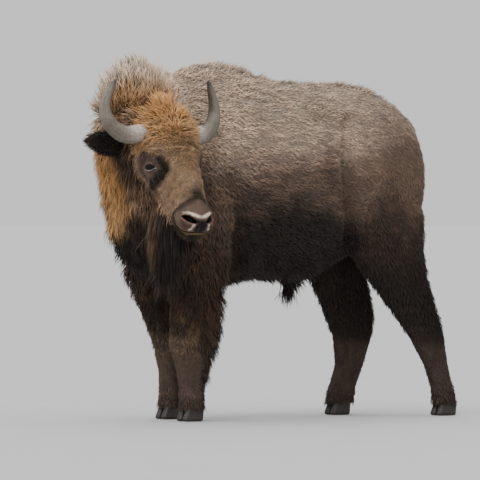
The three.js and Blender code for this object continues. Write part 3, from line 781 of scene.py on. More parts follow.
def lay_muzzle(coat, spots, muzzle):
    """Grey-brown, with a dark fold behind it, a pale rim over the nostrils that is partly a painted
    highlight, and a yellowish chin with painted shadow under it.
    """
    folded = mirrored(spots)
    x, _, z = folded.T
    ragged = ragged_edge(folded)
    coat.lay(MUZZLE_HAIR, muzzle)
    fold, share = line_distance(folded, LINES["fold"])
    coat.lay(DARK, (0.35 + 0.45 * share) * ramp((fold + ragged) / (0.010 + 0.016 * share), 1.2, 0.2))
    coat.lay((78, 64, 54), 0.8 * muzzle * ramp(z, -0.055, -0.075) * ramp(x, -0.46, -0.42))
    coat.lay(CHIN, 0.9 * muzzle * ramp(z, -0.048, -0.056) * ramp(x, -0.46, -0.48))
    # Painted shadow under the chin.
    coat.lay((56, 46, 38), 0.9 * muzzle * ramp(z + 2 * ragged, -0.070, -0.084))
    # Pale rim over the nostrils: partly pale hair, partly a painted highlight, brighter in places along its
    # length.
    rim, share = line_distance(folded, LINES["rim"])
    bright = (0.35 + 0.65 * ramp(share, 0.10, 0.45)) * (1 - 0.55 * ramp(share, 0.80, 1.0))
    coat.lay(PALE, 0.95 * ramp(rim + ragged, 0.0095, 0.003) * bright)
    drop = line_distance(folded, LINES["drop"])[0]
    coat.lay(PALE, 0.8 * muzzle * ramp(drop + ragged, 0.0085, 0.003))
    coat.lay((74, 54, 47), 0.9 * muzzle * blob(folded, (-0.478, 0.066, -0.026), (0.026, 0.022, 0.022)))


def lay_beard(coat, points, rough):
    """Dark, with brown streaks, browner under the jaw."""
    _, y, z = points.T
    streaks = ramp(wave(points, (0.022, 0.022, 0.22), 9), -0.1, 0.7)
    coat.lay(DARK)
    coat.lay((100, 82, 70), (0.30 + 0.55 * streaks) * ramp(z + rough, 0.84, 0.95))
    coat.lay((92, 76, 64), 0.45 * streaks)
    coat.lay((112, 84, 58), 0.6 * streaks * ramp(y, -0.42, -0.32) * ramp(z, 0.70, 0.80))


def ragged_edge(spots):
    """Small wanderings, in metres, for the edges of markings."""
    return 0.003 * wave(spots, 0.010, 15)


def bare_markings(points, kinds):
    """Markings with what shows only on bare skin: lids, nostrils, nose pad and lips, with painted shade in
    the upper lid's crease and inside the nostrils and a painted highlight on the lower lid; and how wet it
    is.
    """
    coat = Coats(BROWN, len(points))
    coat.colour = markings(points, kinds)
    folded = mirrored(to_head(points))
    x, y, z = folded.T
    head = shares(kinds, "head", "muzzle")
    near = head * (np.linalg.norm(folded - EYE_AT, axis=1) < 0.035)
    up = around_eye(folded)[3]
    gap = slit_distance(folded)
    coat.within = near
    coat.lay((66, 55, 52), ramp(gap, 0.014, 0.006))
    coat.lay(LID, ramp(gap, 0.006, 0.003))
    # Painted shade in the crease of the upper lid.
    coat.lay(LID, 0.8 * ramp(np.abs(gap - 0.0090), 0.0030, 0.0008) * ramp(up, 0.0, 0.15))
    # Painted highlight: a pale line along the wet rim of the lower lid.
    coat.lay((206, 192, 188), 0.95 * ramp(np.abs(gap - 0.0034), 0.0026, 0.0012) * ramp(up, 0.0, -0.12))
    coat.lay(BLACK, ramp(gap, 0.0012, 0.0))
    coat.within = head
    pad_shape = np.maximum(y / PAD_HALF, np.abs(z - PAD_MIDDLE) / PAD_HEIGHT) + 30 * ragged_edge(folded)
    pad = ramp(pad_shape, 1.15, 0.85) * ramp(x, PAD_FROM, -0.482)
    coat.lay(NOSE, pad)
    nostril, share = line_distance(folded, LINES["nostril"])
    coat.lay(PINK, 0.7 * ramp(nostril, 0.019, 0.012) * ramp(z, 0.004, -0.008))
    # Painted shade: near black inside the nostril's hollow.
    coat.lay((9, 7, 7), ramp(nostril / nostril_breadth(share), 1.15, 0.9))
    coat.lay(NOSE, ramp(line_distance(folded, LINES["mouth"])[0], 0.008, 0.003))
    wet = head * (pad + ramp(nostril, 0.012, 0.007)) + near * ramp(gap, 0.003, 0.001)
    return coat.colour, np.clip(wet, 0, 1)


# ---- lie of the coat ----
SHEATH_AT = 0.570
DOWN = np.array([0, 0, -1.0])
WHORL = np.array([-0.035, 0.0, 0.100])
NECK_CORE = np.array([-0.262, -0.060, 1.200])
PAD_FROM, PAD_MIDDLE, PAD_HALF, PAD_HEIGHT = -0.474, -0.018, 0.029, 0.028


def shares(kinds, *names):
    """1 where the kind of coat is one of those named, otherwise 0."""
    return np.isin(kinds, [KINDS.index(name) for name in names]).astype(float)


def blended(flow, other, share):
    """The flow turned towards another by a share of the difference."""
    return flow + (np.asarray(other) - flow) * np.clip(share, 0, 1)[:, None]


def lie(points, kinds):
    """The way the hair points before it is laid along the surface."""
    x, y, z = points.T
    spots = to_head(points)
    neck = shares(kinds, "neck")
    flow = np.tile([1.0, 0.0, -0.50], (len(points), 1))
    for way, share in [
        ([1.0, 0.0, -0.12], ramp(z, 1.30, 1.46)),
        ([0.8, 0.0, 0.5], ramp(np.abs(y), 0.07, 0.02) * ramp(z, 1.36, 1.44)),
        ([0.35, 0.0, -1.0], ramp(x, 0.80, 1.06) * ramp(z, 1.42, 1.24)),
        (DOWN, ramp(x, 1.14, 1.22)),
        ([0.45, 0.0, -1.0], ramp(x, 0.24, 0.05) * ramp(z, 1.25, 0.95)),
        ([0.12, 0.0, -1.0], shares(kinds, "arm", "forearm", "cannon", "pastern", "gaskin")),
        ([0.30, 0.0, -1.0], shares(kinds, "thigh")),
        ([0.10, 0.05, -1.0], neck),
        (unit(points - NECK_CORE) + [0, 0, 0.6], neck * ramp(z, CREST_LOW, CREST_HIGH)),
    ]:
        flow = blended(flow, way, share)
    stray = 0.05 * np.stack([wave(spots, 0.035, seed) for seed in (51, 52, 53)], axis=1)
    fan = unit(spots - WHORL + stray) * np.array([1.0, 1.0, 0.2])
    face = np.stack([np.full(len(x), -0.9), 0.35 * np.sign(spots[:, 1]), np.full(len(x), -0.15)], axis=1)
    local = blended(face, fan, ramp(spots[:, 0], -0.16, -0.07))
    local = blended(local, [-0.55, 0.0, -0.85], ramp(spots[:, 2], -0.03, -0.11))
    flow = blended(flow, local @ HEAD_AXES.T, shares(kinds, "head", "muzzle"))
    for root, tip, _ in EAR_TIPS.values():
        near = shares(kinds, "ear") * (np.linalg.norm(points - (root + tip) / 2, axis=1) < 0.2)
        flow = blended(flow, unit(tip - root) + [0, 0, -0.25], near)
    return blended(flow, DOWN, shares(kinds, "beard", "tail", "tail_tuft", "sheath_tuft"))


def coat_fields(points, kinds, smoother):
    """Length, width, lift and the rest of the coat at each point of the skin."""
    fields = {key: coat_number(key, kinds) for key in ("length", "width", "lift", "roots", "droop", "curl")}
    for key in ("length", "width", "lift", "droop", "curl"):
        fields[key] = smoother.blurred(fields[key], 6)
    spots = to_head(points)
    folded = mirrored(spots)
    head = shares(kinds, "head")
    x, z = folded[:, 0], folded[:, 2]
    brow = head * ramp(x, -0.26, -0.14)
    crown = head * ramp(x, -0.13, -0.02)
    poll = head * ramp(x, 0.03, 0.11)
    cheek = head * ramp(z, -0.07, -0.13)
    jaw = head * ramp(z, -0.09, -0.14) * ramp(x, -0.16, -0.24) * ramp(x, -0.46, -0.40)
    bare = head * ramp(np.linalg.norm(folded - EYE_AT, axis=1), 0.075, 0.03)
    height = points[:, 2]
    crest = shares(kinds, "neck") * ramp(height, CREST_LOW, CREST_HIGH)
    spine = shares(kinds, "barrel", "hindquarters", "forequarters") * spine_region(points)
    belly = shares(kinds, "barrel") * ramp(height, 0.74, 0.66)
    fringe = shares(kinds, "barrel") * ramp(height, 0.72, 0.66)
    fringe *= ramp(np.abs(points[:, 0] - SHEATH_AT), 0.16, 0.04)
    chest = shares(kinds, "forequarters") * ramp(height, 0.90, 0.72)
    chin = shares(kinds, "muzzle") * ramp(z, -0.062, -0.078)
    for share, changes in [
        (brow, dict(length=0.024, width=0.0042, lift=26, curl=40)),
        (cheek, dict(length=0.036, width=0.0050, lift=20, roots=32000)),
        (jaw, dict(length=0.060, width=0.0055, lift=14, roots=30000, droop=1.2)),
        (crown, dict(length=0.046, width=0.0055, lift=30, roots=34000, curl=26)),
        (poll, dict(length=0.082, width=0.0062, lift=40, roots=26000, curl=18)),
        (bare, dict(length=0.009, width=0.0021, lift=10, roots=120000, curl=16)),
        (crest, dict(length=0.098, width=0.0062, lift=44, droop=0.0, roots=24000)),
        (spine, dict(length=0.040, width=0.0060, lift=42)),
        (belly, dict(length=0.055, width=0.0060, lift=16, droop=1.1)),
        (fringe, dict(length=0.085, width=0.0055, lift=12, droop=1.3)),
        (chin, dict(length=0.034, width=0.0030, lift=26, droop=1.1, roots=60000)),
        (chest, dict(length=0.050, width=0.0065, droop=0.9)),
    ]:
        for key, value in changes.items():
            fields[key] = fields[key] + share * (value - fields[key])
    rear = shares(kinds, "forearm", "cannon") * ramp(points[:, 0], 0.6, 0.4)
    rear *= ramp(point_side(points), 0.02, 0.05)
    fields["length"] = fields["length"] + rear * 0.030 * ramp(height, 0.14, 0.22)
    fields["lift"] = fields["lift"] + rear * 8
    coronet = shares(kinds, "pastern") * ramp(height, 0.095, 0.080)
    fields["length"] = fields["length"] + coronet * 0.012
    fields["crinkle"] = smoother.blurred(shares(kinds, "forequarters", "barrel"), 25)
    return fields


def hairless(points, kinds):
    """Where no tuft grows: lids' openings, nostrils, nose pad, lips, and under the hooves' edge."""
    folded = mirrored(to_head(points))
    head = shares(kinds, "head", "muzzle") > 0
    x, y, z = folded.T
    pad = (x < PAD_FROM) & (y < PAD_HALF) & (np.abs(z - PAD_MIDDLE) < PAD_HEIGHT)
    bare = (slit_distance(folded) < 0.006) & (np.linalg.norm(folded - EYE_AT, axis=1) < 0.034)
    bare |= (line_distance(folded, LINES["nostril"])[0] < 0.013) | pad
    bare |= line_distance(folded, LINES["mouth"])[0] < 0.005
    return (head & bare) | (points[:, 2] < HOOF_TOP - 0.004)


# ---- coat ----
LEFT, RIGHT = (1, -9.0, 0.0), (1, 0.0, 9.0)
FRONT, REAR = (0, -9.0, 0.5), (0, 0.5, 9.0)
LEFT_EAR, RIGHT_EAR = (0, -0.25, 9.0), (0, -9.0, -0.25)
FORELEG, HINDLEG = ["arm", "forearm", "cannon", "pastern"], ["thigh", "gaskin", "cannon", "pastern"]
# Name of each piece of the coat: the kinds it covers, its slot, and the ranges of x (0) or y (1) it keeps to.
PIECES = {
    "coat_forequarters_left": (["forequarters"], "body_coat", [LEFT]),
    "coat_forequarters_right": (["forequarters"], "body_coat", [RIGHT]),
    "coat_barrel_left": (["barrel"], "body_coat", [LEFT]),
    "coat_barrel_right": (["barrel"], "body_coat", [RIGHT]),
    "coat_hindquarters": (["hindquarters"], "body_coat", []),
    "coat_neck_left": (["neck"], "mane", [(0, -0.25, 9.0)]),
    "coat_neck_right": (["neck"], "mane", [(0, -9.0, -0.25)]),
    "coat_head": (["head"], "face", []),
    "coat_muzzle": (["muzzle"], "face", []),
    "coat_beard": (["beard"], "dark_hair", []),
    "coat_ear_left": (["ear"], "dark_hair", [LEFT_EAR]),
    "coat_ear_right": (["ear"], "dark_hair", [RIGHT_EAR]),
    "coat_foreleg_left": (FORELEG, "leg_coat", [FRONT, LEFT]),
    "coat_foreleg_right": (FORELEG, "leg_coat", [FRONT, RIGHT]),
    "coat_hindleg_left": (HINDLEG, "leg_coat", [REAR, LEFT]),
    "coat_hindleg_right": (HINDLEG, "leg_coat", [REAR, RIGHT]),
    "coat_tail": (["tail", "tail_tuft"], "dark_hair", []),
    "coat_belly_tuft": (["sheath_tuft"], "dark_hair", []),
}
PATCH = 0.003
RIDGE = (0.050, 0.050, 0.013)
# Warmer tint for brighter tufts and cooler for darker ones, painted highlights included.
WARMTH = np.array([1.12, 1.0, 0.88])
FLATNESS = 0.42
SINK = 0.002


def faces_of_piece(name, middles, kinds):
    """Which faces of the skin a piece of the coat grows on."""
    members, _, ranges = PIECES[name]
    chosen = np.isin(kinds, [KINDS.index(member) for member in members])
    for axis, start, end in ranges:
        chosen &= (middles[:, axis] >= start) & (middles[:, axis] < end)
    return chosen


def axis_of(name):
    """The line that a piece of the coat is unwrapped about: its direction."""
    if name.startswith(("coat_forequarters", "coat_barrel", "coat_hindquarters")):
        return np.array([1.0, 0.0, 0.0])
    if name in ("coat_head", "coat_muzzle"):
        return HEAD_AXES @ np.array([1.0, 0.0, 0.0])
    if name.startswith("coat_ear"):
        root, tip, _ = EAR_TIPS[1 if name.endswith("right") else -1]
        return unit(tip - root)
    return np.array([0.0, 0.0, 1.0])


def unwrapped(roots, axis):
    """Places on an unwrap of the skin round a bent axis, its ends folded outwards, from 0.01 to 0.99."""
    first = unit(np.cross(axis, [0.31, 0.87, 0.39]))
    second = np.cross(axis, first)
    along, a, b = roots @ axis, roots @ first, roots @ second
    a = a - np.polyval(np.polyfit(along, a, 2), along)
    b = b - np.polyval(np.polyfit(along, b, 2), along)
    radius = np.hypot(a, b)
    wide = np.percentile(radius, 80)
    middle, half = (along.max() + along.min()) / 2, (along.max() - along.min()) / 2
    end = np.abs(along - middle) / half
    length = along + np.sign(along - middle) * np.maximum(wide - radius, 0) * ramp(end, 0.5, 0.9)
    turn = np.arctan2(b, a) / (2 * np.pi) + 0.5
    length = (length - length.min()) / (length.max() - length.min())
    return 0.01 + 0.98 * np.stack([turn, length], axis=1)


def sampled(points, faces, roots_per_area):
    """Random faces, and places in them, with as many on each face as its area and density ask for."""
    area = np.linalg.norm(face_normals(points, faces), axis=1) / 2
    weight = area * roots_per_area
    total = weight.sum()
    count = int(total)
    edges = np.cumsum(weight) / total
    chosen = np.searchsorted(edges, (np.arange(count) + RANDOM.random(count)) / count)
    u, v = RANDOM.random((2, count))
    flip = u + v > 1
    u, v = np.where(flip, 1 - u, u), np.where(flip, 1 - v, v)
    return np.minimum(chosen, len(faces) - 1), np.stack([1 - u - v, u, v], axis=1)


def grow(roots, normals, flow, fields, segments):
    """Bent, flattened, tapering tufts, each of rings of three points and a tip: points by tuft."""
    count = len(roots)
    side = unit(np.cross(normals, flow))
    bend = np.radians(fields["curl"]) * RANDOM.normal(0, 1, count)
    phase = RANDOM.random(count) * 2 * np.pi
    lift = np.radians(fields["lift"])
    spot = roots - np.minimum(SINK, 0.08 * fields["length"])[:, None] * normals
    rings = []
    for k in range(segments + 1):
        t = k / segments
        width = fields["width"] / 2 * (1 - t) ** 0.7 * (0.72 + 1.0 * t)
        raise_by = (lift * (1.45 - 1.2 * t))[:, None]
        turn = (bend * np.sin(phase + 3.0 * t))[:, None]
        way = np.cos(turn) * flow + np.sin(turn) * side
        way = np.cos(raise_by) * way + np.sin(raise_by) * normals
        way = unit(way + (fields["droop"] * t)[:, None] * DOWN)
        if k == segments:
            rings.append(spot[:, None])
            break
        over = unit(np.cross(way, side))
        corners = []
        for corner in range(3):
            angle = 2 * np.pi * corner / 3 + np.pi / 2
            offset = math.cos(angle) * side + FLATNESS * math.sin(angle) * over
            corners.append(spot + width[:, None] * offset)
        rings.append(np.stack(corners, axis=1))
        spot = spot + way * (fields["length"] / segments)[:, None]
    return np.concatenate(rings, axis=1)


def tuft_faces(segments):
    """The triangles of one tuft, its base closed."""
    faces = [(0, 2, 1)]
    for k in range(segments - 1):
        for s in range(3):
            a, b = 3 * k + s, 3 * k + (s + 1) % 3
            faces += [(a, b, b + 3), (a, b + 3, a + 3)]
    last, tip = 3 * (segments - 1), 3 * segments
    faces += [(last + s, last + (s + 1) % 3, tip) for s in range(3)]
    return np.array(faces)


def segments_of(length):
    return np.select([length < 0.017, length < 0.060, length < 0.110], [1, 2, 3], 4)


def tuft_levels(segments):
    """How far up the tuft each of its points is, from 0 to 1."""
    return np.array([k / segments for k in range(segments) for _ in range(3)] + [1.0])


def painted_strand_light(segments):
    """Painted light and shade round the tuft's rings: its ridge painted bright, one edge painted dark."""
    return np.append(np.tile([1.14, 0.74, 1.0], segments), 1.05)


def ridges(roots):
    """The crinkled ridges that the tufts stand in, from -1 to 1."""
    return wave(roots + 0.012 * wave(roots, 0.05, 42)[:, None], RIDGE, 43)


def coat_piece(name, roots, normals, flow, kinds, fields, material):
    """One joined mesh of tufts, with its colours and its bake map."""
    base = markings(roots + 0.4 * fields["length"][:, None] * flow, kinds)
    crinkle = fields["crinkle"]
    # Random tone, plus painted highlights and shade on the curly hair and the crinkled ridges, warmer where
    # brighter.
    painted_curl_light = wave(roots, 0.014, 44) * (1 - crinkle)
    shade = 1 + 0.12 * RANDOM.normal(0, 1, len(roots)) + 0.36 * painted_curl_light
    shade += (0.14 + 0.30 * crinkle) * ridges(roots)
    shade = (shade + 0.10 * wave(roots, 0.09, 22))[:, None]
    base = base * np.clip(shade, 0.45, 1.9) * WARMTH ** np.clip(shade - 1, -0.5, 0.5)
    places = unwrapped(roots, axis_of(name))
    all_points, all_faces, all_colours, all_places = [], [], [], []
    offset = 0
    order = segments_of(fields["length"])
    for segments in np.unique(order).tolist():
        chosen = order == segments
        picked = {key: values[chosen] for key, values in fields.items()}
        points = grow(roots[chosen], normals[chosen], flow[chosen], picked, segments)
        count, size = points.shape[:2]
        levels = tuft_levels(segments)
        # Darker at the root and lighter at the sun-bleached tip; the dark roots also stand in as painted
        # shade deep in the coat.
        dark_to_light = 0.46 + 0.76 * levels ** 0.8
        colours = base[chosen][:, None] * (dark_to_light * painted_strand_light(segments))[None, :, None]
        local = np.stack([np.arange(size) % 3 / 2 - 0.5, levels - 0.5], axis=1) * PATCH
        faces = tuft_faces(segments)[None] + (np.arange(count) * size)[:, None, None] + offset
        all_points.append(points.reshape(-1, 3))
        all_faces.append(faces.reshape(-1, 3))
        all_colours.append(colours.reshape(-1, 3))
        all_places.append((places[chosen][:, None] + local[None]).reshape(-1, 2))
        offset += count * size
    faces = np.concatenate(all_faces)
    obj = mesh_object(name, np.concatenate(all_points), faces)
    paint(obj, "Col", np.concatenate(all_colours))
    layer = obj.data.uv_layers.new(name="OFBake")
    layer.data.foreach_set("uv", np.concatenate(all_places)[faces.ravel()].astype(np.float32).ravel())
    obj.data.materials.append(material)
    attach(obj, "root")
    print(name, len(roots), "tufts", len(faces), "triangles", flush=True)


def grow_coat(points, flat, faces, kinds, normals, smoother, materials):
    """Every piece of the coat, on the skin."""
    fields = coat_fields(points, kinds, smoother)
    fields["roots"] = np.where(hairless(flat, kinds), 0, fields["roots"])
    face_kinds = kinds[faces[:, 0]]
    middles = points[faces].mean(axis=1)
    way = smoother.blurred(lie(points, kinds), 5)
    for name, (_, slot, _) in PIECES.items():
        inside = faces[faces_of_piece(name, middles, face_kinds)]
        chosen, weights = sampled(points, inside, fields["roots"][inside].min(axis=1))
        corners = inside[chosen]

        def at(values):
            return (values[corners] * weights.reshape(weights.shape + (1,) * (values.ndim - 1))).sum(axis=1)

        roots, up = at(points), unit(at(normals))
        flow = at(way)
        flow = unit(flow - up * (flow * up).sum(axis=1)[:, None])
        side = np.cross(up, flow)
        swing = np.radians(0.9 * at(fields["curl"])) * wave(roots, 0.035, 31)
        swing += np.radians(0.5 * at(fields["curl"])) * RANDOM.normal(0, 1, len(roots))
        flow = np.cos(swing)[:, None] * flow + np.sin(swing)[:, None] * side
        here = {key: at(fields[key]) for key in ("length", "width", "lift", "droop", "curl", "crinkle")}
        here["length"] = here["length"] * np.clip(RANDOM.normal(1, 0.16, len(roots)), 0.6, 1.4)
        uneven = 1 + 0.8 * ridges(roots) + 0.2 * RANDOM.normal(0, 1, len(roots))
        here["lift"] = here["lift"] * np.clip(uneven, 0.3, 2)
        here["width"] = here["width"] * np.clip(RANDOM.normal(1, 0.2, len(roots)), 0.6, 1.5)
        coat_piece(name, roots, up, flow, kinds[corners[:, 0]], here, materials[slot])


# ---- materials ----
def new_material(name, inputs):
    """A material, its Principled shader with these inputs set, a maker of nodes, and its links."""
    material = bpy.data.materials.new(name)
    material.use_nodes = True
    nodes = material.node_tree.nodes
    links = material.node_tree.links
    shader = nodes["Principled BSDF"]
    for key, value in inputs.items():
        shader.inputs[key].default_value = value

    def node(kind, inputs=None, **settings):
        made = nodes.new(kind)
        for key, value in settings.items():
            setattr(made, key, value)
        for key, value in (inputs or {}).items():
            if isinstance(value, bpy.types.NodeSocket):
                links.new(value, made.inputs[key])
            else:
                made.inputs[key].default_value = value
        return made

    return material, shader, node, links


def attribute(node, name, output="Color"):
    """Something stored at the points of the mesh: by default the colour painted on it."""
    return node("ShaderNodeAttribute", attribute_name=name).outputs[output]


def times(node, first, second):
    return node("ShaderNodeVectorMath", {0: first, 1: second}, operation="MULTIPLY").outputs["Vector"]


def varied(node, colour, scale, low, high, coordinates=None):
    """A colour times noise between two factors."""
    place = coordinates or node("ShaderNodeTexCoord").outputs["Object"]
    noise = node("ShaderNodeTexNoise", {"Vector": place, "Scale": scale, "Detail": 4.0, "Roughness": 0.6})
    factor = node("ShaderNodeMapRange", {
        "Value": noise.outputs["Fac"], "From Min": 0.3, "From Max": 0.7, "To Min": low, "To Max": high,
    })
    return times(node, colour, factor.outputs["Result"])


def relief(node, shader, links, height, distance, strength):
    """Stands the surface up by a height."""
    bump = node("ShaderNodeBump", {"Height": height, "Distance": distance, "Strength": strength})
    links.new(bump.outputs["Normal"], shader.inputs["Normal"])


def bumped(node, shader, links, scale, distance, strength, coordinates, detail=4.0):
    """Fine relief from noise."""
    noise = node("ShaderNodeTexNoise", {"Vector": coordinates, "Scale": scale, "Detail": detail})
    relief(node, shader, links, noise.outputs["Fac"], distance, strength)


def coat_material(name, roughness, sheen, fine):
    """Hair in tufts: the tuft's own colour, with fine strands and a soft sheen."""
    material, shader, node, links = new_material(name, {
        "Roughness": roughness, "Specular IOR Level": 0.22,
        "Sheen Weight": sheen, "Sheen Roughness": 0.5, "Sheen Tint": (0.8, 0.74, 0.66, 1),
    })
    links.new(varied(node, attribute(node, "Col"), fine, 0.82, 1.16), shader.inputs["Base Color"])
    return material


def skin_material():
    """Skin under the coat, bare and damp on the nose, lids and lips, with short hair as fine bumps."""
    material, shader, node, links = new_material("skin", {"Specular IOR Level": 0.14})
    wet = attribute(node, "Wet", "Fac")
    links.new(varied(node, attribute(node, "Col"), 260.0, 0.78, 1.2), shader.inputs["Base Color"])
    rough = node("ShaderNodeMapRange", {"Value": wet, "To Min": 0.82, "To Max": 0.42})
    links.new(rough.outputs["Result"], shader.inputs["Roughness"])
    place = node("ShaderNodeTexCoord").outputs["Object"]
    pores = node("ShaderNodeTexVoronoi", {"Vector": place, "Scale": 420.0})
    hairs = node("ShaderNodeTexNoise", {"Vector": place, "Scale": 500.0, "Detail": 3.0})
    height = node("ShaderNodeMix", {"Factor": wet, "A": hairs.outputs["Fac"], "B": pores.outputs["Distance"]})
    relief(node, shader, links, height.outputs["Result"], 0.0008, 0.6)
    return material


def horn_material():
    """Grey horn with fine grain along it and darker growth rings near the base."""
    material, shader, node, links = new_material("horn", {"Roughness": 0.48})
    grain = attribute(node, "Grain", "Vector")
    patches = varied(node, attribute(node, "Col"), 5.0, 0.72, 1.22, grain)
    streaks = varied(node, patches, 22.0, 0.60, 1.32, grain)
    links.new(varied(node, streaks, 80.0, 0.84, 1.14), shader.inputs["Base Color"])
    bumped(node, shader, links, 24.0, 0.0022, 0.9, grain, 7.0)
    return material


def plain_colour(node, colour):
    base = node("ShaderNodeRGB")
    base.outputs[0].default_value = (*colour, 1)
    return base.outputs[0]


def hoof_material():
    """Dark hoof with fine level grooves."""
    material, shader, node, links = new_material("hoof", {"Roughness": 0.5})
    place = node("ShaderNodeTexCoord").outputs["Object"]
    stretch = times(node, place, (1.0, 1.0, 9.0))
    colour = plain_colour(node, linear(40, 34, 30))
    links.new(varied(node, colour, 40.0, 0.6, 1.45, stretch), shader.inputs["Base Color"])
    bumped(node, shader, links, 60.0, 0.0012, 0.6, stretch)
    return material


def eye_material():
    """A smooth eye, with little shine so that the lids stay clear of glints."""
    material, shader, node, links = new_material("eye", {
        "Roughness": 0.12, "Specular IOR Level": 0.05, "Coat Weight": 0.02, "Coat Roughness": 0.02,
    })
    links.new(varied(node, attribute(node, "Col"), 900.0, 0.8, 1.25), shader.inputs["Base Color"])
    return material


def plain_material(name, colour, roughness):
    material, shader, node, links = new_material(name, {"Roughness": roughness})
    links.new(varied(node, plain_colour(node, colour), 3.0, 0.98, 1.02), shader.inputs["Base Color"])
    return material


# ---- horns, eyes and hooves ----
HORN_SIDES = 28
HORN_STEPS = 90
HORN_TIP = 0.0012
CORNEA = 0.035
PUPIL_LONG, PUPIL_HIGH = 0.50, 0.28
CLAW_VOXEL = 0.0032
CLAW_GROOVE, CLAW_GROOVES = 0.0005, 900


def horn(side, name, material):
    """A smooth horn along the CAD horn's line, ringed at its base, worn smooth towards its tip."""
    line = curve_through(horn_points(side), HORN_STEPS)
    radii = curve_through(HORN_RADII[:, None], HORN_STEPS)[:, 0]
    share = np.linspace(0, 1, HORN_STEPS)
    radii = radii * (1 + 0.022 * np.sin(share * 150) * ramp(share, 0.5, 0.15))
    radii[-1] = HORN_TIP
    ways = unit(np.gradient(line, axis=0))
    across = unit(np.cross(ways, [0.1, 1.0, 0.2]))
    over = np.cross(ways, across)
    angles = np.arange(HORN_SIDES) * 2 * np.pi / HORN_SIDES
    ring = np.cos(angles)[None, :, None] * across[:, None] + np.sin(angles)[None, :, None] * over[:, None]
    flutes = 1 + 0.014 * np.sin(angles * 7 + 1)[None, :] * ramp(share, 0.7, 0.2)[:, None]
    points = line[:, None] + (radii[:, None] * flutes)[..., None] * ring
    points = np.concatenate([points.reshape(-1, 3), line[:1], line[-1:]])
    obj = mesh_object(name, points, tube_faces(HORN_STEPS, HORN_SIDES))
    along = np.append(np.repeat(share, HORN_SIDES), [0, 1])
    inner = np.append((ring @ np.array([side * 0.9, 0.3, -0.2])).ravel(), [0, 0])
    coat = Coats((118, 108, 97), len(points))
    coat.lay((186, 170, 160), 0.85 * ramp(along, 0.30, 0.14))
    coat.lay((88, 81, 66), 0.6 * ramp(np.abs(along - 0.42), 0.14, 0.04))
    # Painted shade on the horn's inner, lower side.
    coat.lay((66, 56, 50), 0.75 * ramp(inner, -0.1, 0.6))
    coat.lay((56, 50, 46), 0.8 * ramp(along, 0.80, 0.97))
    paint(obj, "Col", coat.colour)
    turned = [np.append(np.tile(turn(angles), HORN_STEPS), [0, 0]) for turn in (np.cos, np.sin)]
    grain = np.stack([along * 1.2, *turned], axis=1)
    layer = obj.data.attributes.new("Grain", "FLOAT_VECTOR", "POINT")
    layer.data.foreach_set("vector", grain.astype(np.float32).ravel())
    obj.data.materials.append(material)
    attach(obj, "root")
    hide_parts(name.replace("visual_", ""))


def tube_faces(rings, sides):
    """Triangles of a closed tube whose last two points are its ends."""
    r, s = np.meshgrid(np.arange(rings - 1), np.arange(sides), indexing="ij")
    a = (r * sides + s).ravel()
    b = (r * sides + (s + 1) % sides).ravel()
    s = np.arange(sides)
    after = (s + 1) % sides
    first, last = np.full(sides, rings * sides), np.full(sides, rings * sides + 1)
    top = (rings - 1) * sides
    corners = [(a, b, b + sides), (a, b + sides, a + sides), (first, after, s), (last, top + s, top + after)]
    return np.concatenate([np.stack(three, axis=1) for three in corners])


def eye(side, name, material):
    """An eyeball with a level, oblong pupil in a dark brown iris, and a bulging cornea."""
    ways, faces = sphere(1.0, 5)
    ways = unit(ways)
    out, along, up = eye_axes()
    angle = np.arccos(np.clip(ways @ out, -1, 1))
    radius = EYE_RADIUS * (1 + CORNEA * ramp(angle, 0.75, 0.35))
    points = EYE_AT + ways * radius[:, None]
    points = points * np.array([1, side, 1])
    if side < 0:
        faces = faces[:, ::-1]
    obj = mesh_object(name, points @ HEAD_AXES.T + HEAD_AT, faces)
    coat = Coats((120, 104, 96), len(points))
    coat.lay((26, 16, 10), ramp(angle, 0.96, 0.86))
    coat.lay((8, 6, 5), 0.8 * ramp(np.abs(angle - 0.90), 0.10, 0.02))
    pupil = np.hypot((ways @ along) / PUPIL_LONG, (ways @ up) / PUPIL_HIGH)
    coat.lay((2, 2, 3), ramp(pupil, 1.1, 0.9) * (angle < 1.2))
    paint(obj, "Col", coat.colour)
    obj.data.materials.append(material)
    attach(obj, "root")
    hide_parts(name.replace("visual_", ""))


def claw(name, material):
    """A hoof claw or dewclaw with its edges worn round."""
    points, faces = remeshed([node_arrays(name)], CLAW_VOXEL)
    smoother = Smoother(faces, len(points))
    low_before = points[:, 2].min()
    points = smoother.relaxed(smoother.blurred(points, 8), 24)
    outwards = point_normals(points, faces)
    outwards[:, 2] = 0
    points = points + CLAW_GROOVE * np.sin(points[:, 2] * CLAW_GROOVES)[:, None] * outwards
    points[:, 2] += low_before + GROWTH - points[:, 2].min()
    obj = mesh_object(f"visual_{name}", points, faces)
    obj.data.materials.append(material)
    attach(obj, "root")
    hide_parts(name)


# ---- studio ----
CAMERA_TURN = math.radians(-32)
CAMERA_AWAY = 22.0
CAMERA_RIGHT = 0.2768
CAMERA_HEIGHT = 0.87
CAMERA_LENS = 369.6
CAMERA_SENSOR = 36.0
CAMERA_TILT = 0.174
# Name, where it shines from, how wide it is in degrees, and its strength.
LAMPS = [
    ("key", (-0.95, -0.55, 1.30), 40, 1.5), ("top", (-0.1, 0.1, 1.0), 70, 2.2),
    ("rear", (0.7, 1.0, 0.9), 50, 0.6), ("glint", (-0.9, -0.9, 0.9), 4, 0.25),
]
# Floor and world look equally bright.
FLOOR = 0.408
FLOOR_RADIUS = 3000
FLOOR_AT = -0.001
WORLD = 0.85


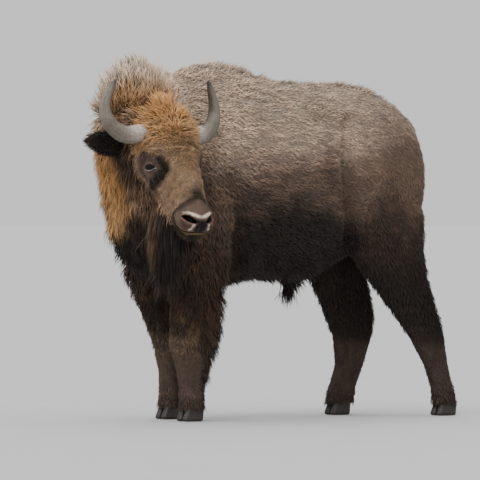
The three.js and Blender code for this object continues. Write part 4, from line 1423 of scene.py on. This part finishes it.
def studio():
    """Camera at the photograph's angle, a plain pale floor and soft light."""
    right = np.array([math.cos(CAMERA_TURN), math.sin(CAMERA_TURN), 0])
    back = np.array([math.sin(CAMERA_TURN), -math.cos(CAMERA_TURN), 0])
    data = bpy.data.cameras.new("camera")
    data.lens = CAMERA_LENS
    data.sensor_width = CAMERA_SENSOR
    data.clip_end = 2 * FLOOR_RADIUS
    camera = bpy.data.objects.new("camera", data)
    camera.location = ORIGIN + back * CAMERA_AWAY + right * CAMERA_RIGHT + np.array([0, 0, CAMERA_HEIGHT])
    camera.rotation_euler = (math.radians(90 - CAMERA_TILT), 0, CAMERA_TURN)
    bpy.context.scene.collection.objects.link(camera)
    bpy.context.scene.camera = camera
    bpy.ops.mesh.primitive_circle_add(
        vertices=96, radius=FLOOR_RADIUS, fill_type="NGON", location=(0, 0, FLOOR_AT))
    floor = bpy.context.object
    floor.name = "floor"
    floor.data.materials.append(plain_material("floor_paint", (FLOOR, FLOOR, FLOOR), 0.95))
    for name, towards, angle, strength in LAMPS:
        light = bpy.data.lights.new(name, "SUN")
        light.angle = math.radians(angle)
        light.energy = strength
        lamp = bpy.data.objects.new(name, light)
        lamp.rotation_euler = Vector(towards).to_track_quat("Z", "Y").to_euler()
        bpy.context.scene.collection.objects.link(lamp)
    world = bpy.data.worlds.new("studio")
    world.use_nodes = True
    world.node_tree.nodes["Background"].inputs["Color"].default_value = (1, 1, 1, 1)
    world.node_tree.nodes["Background"].inputs["Strength"].default_value = WORLD
    bpy.context.scene.world = world


# ---- the whole ----
def build():
    points, flat, faces, kinds, smoother = body_skin()
    normals = point_normals(points, faces)
    skin = mesh_object("skin", points, faces)
    colours, wet = bare_markings(flat, kinds)
    covered = 1 - 0.45 * (1 - shares(kinds, "head", "muzzle", "ear")) - 0.2 * shares(kinds, "head")
    paint(skin, "Col", colours * covered[:, None])
    numbers(skin, "Wet", wet)
    skin.data.materials.append(skin_material())
    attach(skin, "root")
    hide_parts(*FLESH)
    print("skin", len(faces), "triangles", flush=True)
    coats = {
        "body_coat": coat_material("body_coat", 0.85, 0.10, 300.0),
        "mane": coat_material("mane", 0.80, 0.12, 260.0),
        "face": coat_material("face", 0.82, 0.10, 420.0),
        "dark_hair": coat_material("dark_hair", 0.62, 0.06, 260.0),
        "leg_coat": coat_material("leg_coat", 0.82, 0.08, 340.0),
    }
    grow_coat(points, flat, faces, kinds, normals, smoother, coats)
    horn_finish, eye_finish, hoof_finish = horn_material(), eye_material(), hoof_material()
    for side, ending in ((1, "right"), (-1, "left")):
        horn(side, f"visual_horn_{ending}", horn_finish)
        eye(side, f"visual_eye_{ending}", eye_finish)
    for name in CLAWS:
        claw(name, hoof_finish)


studio()
build()
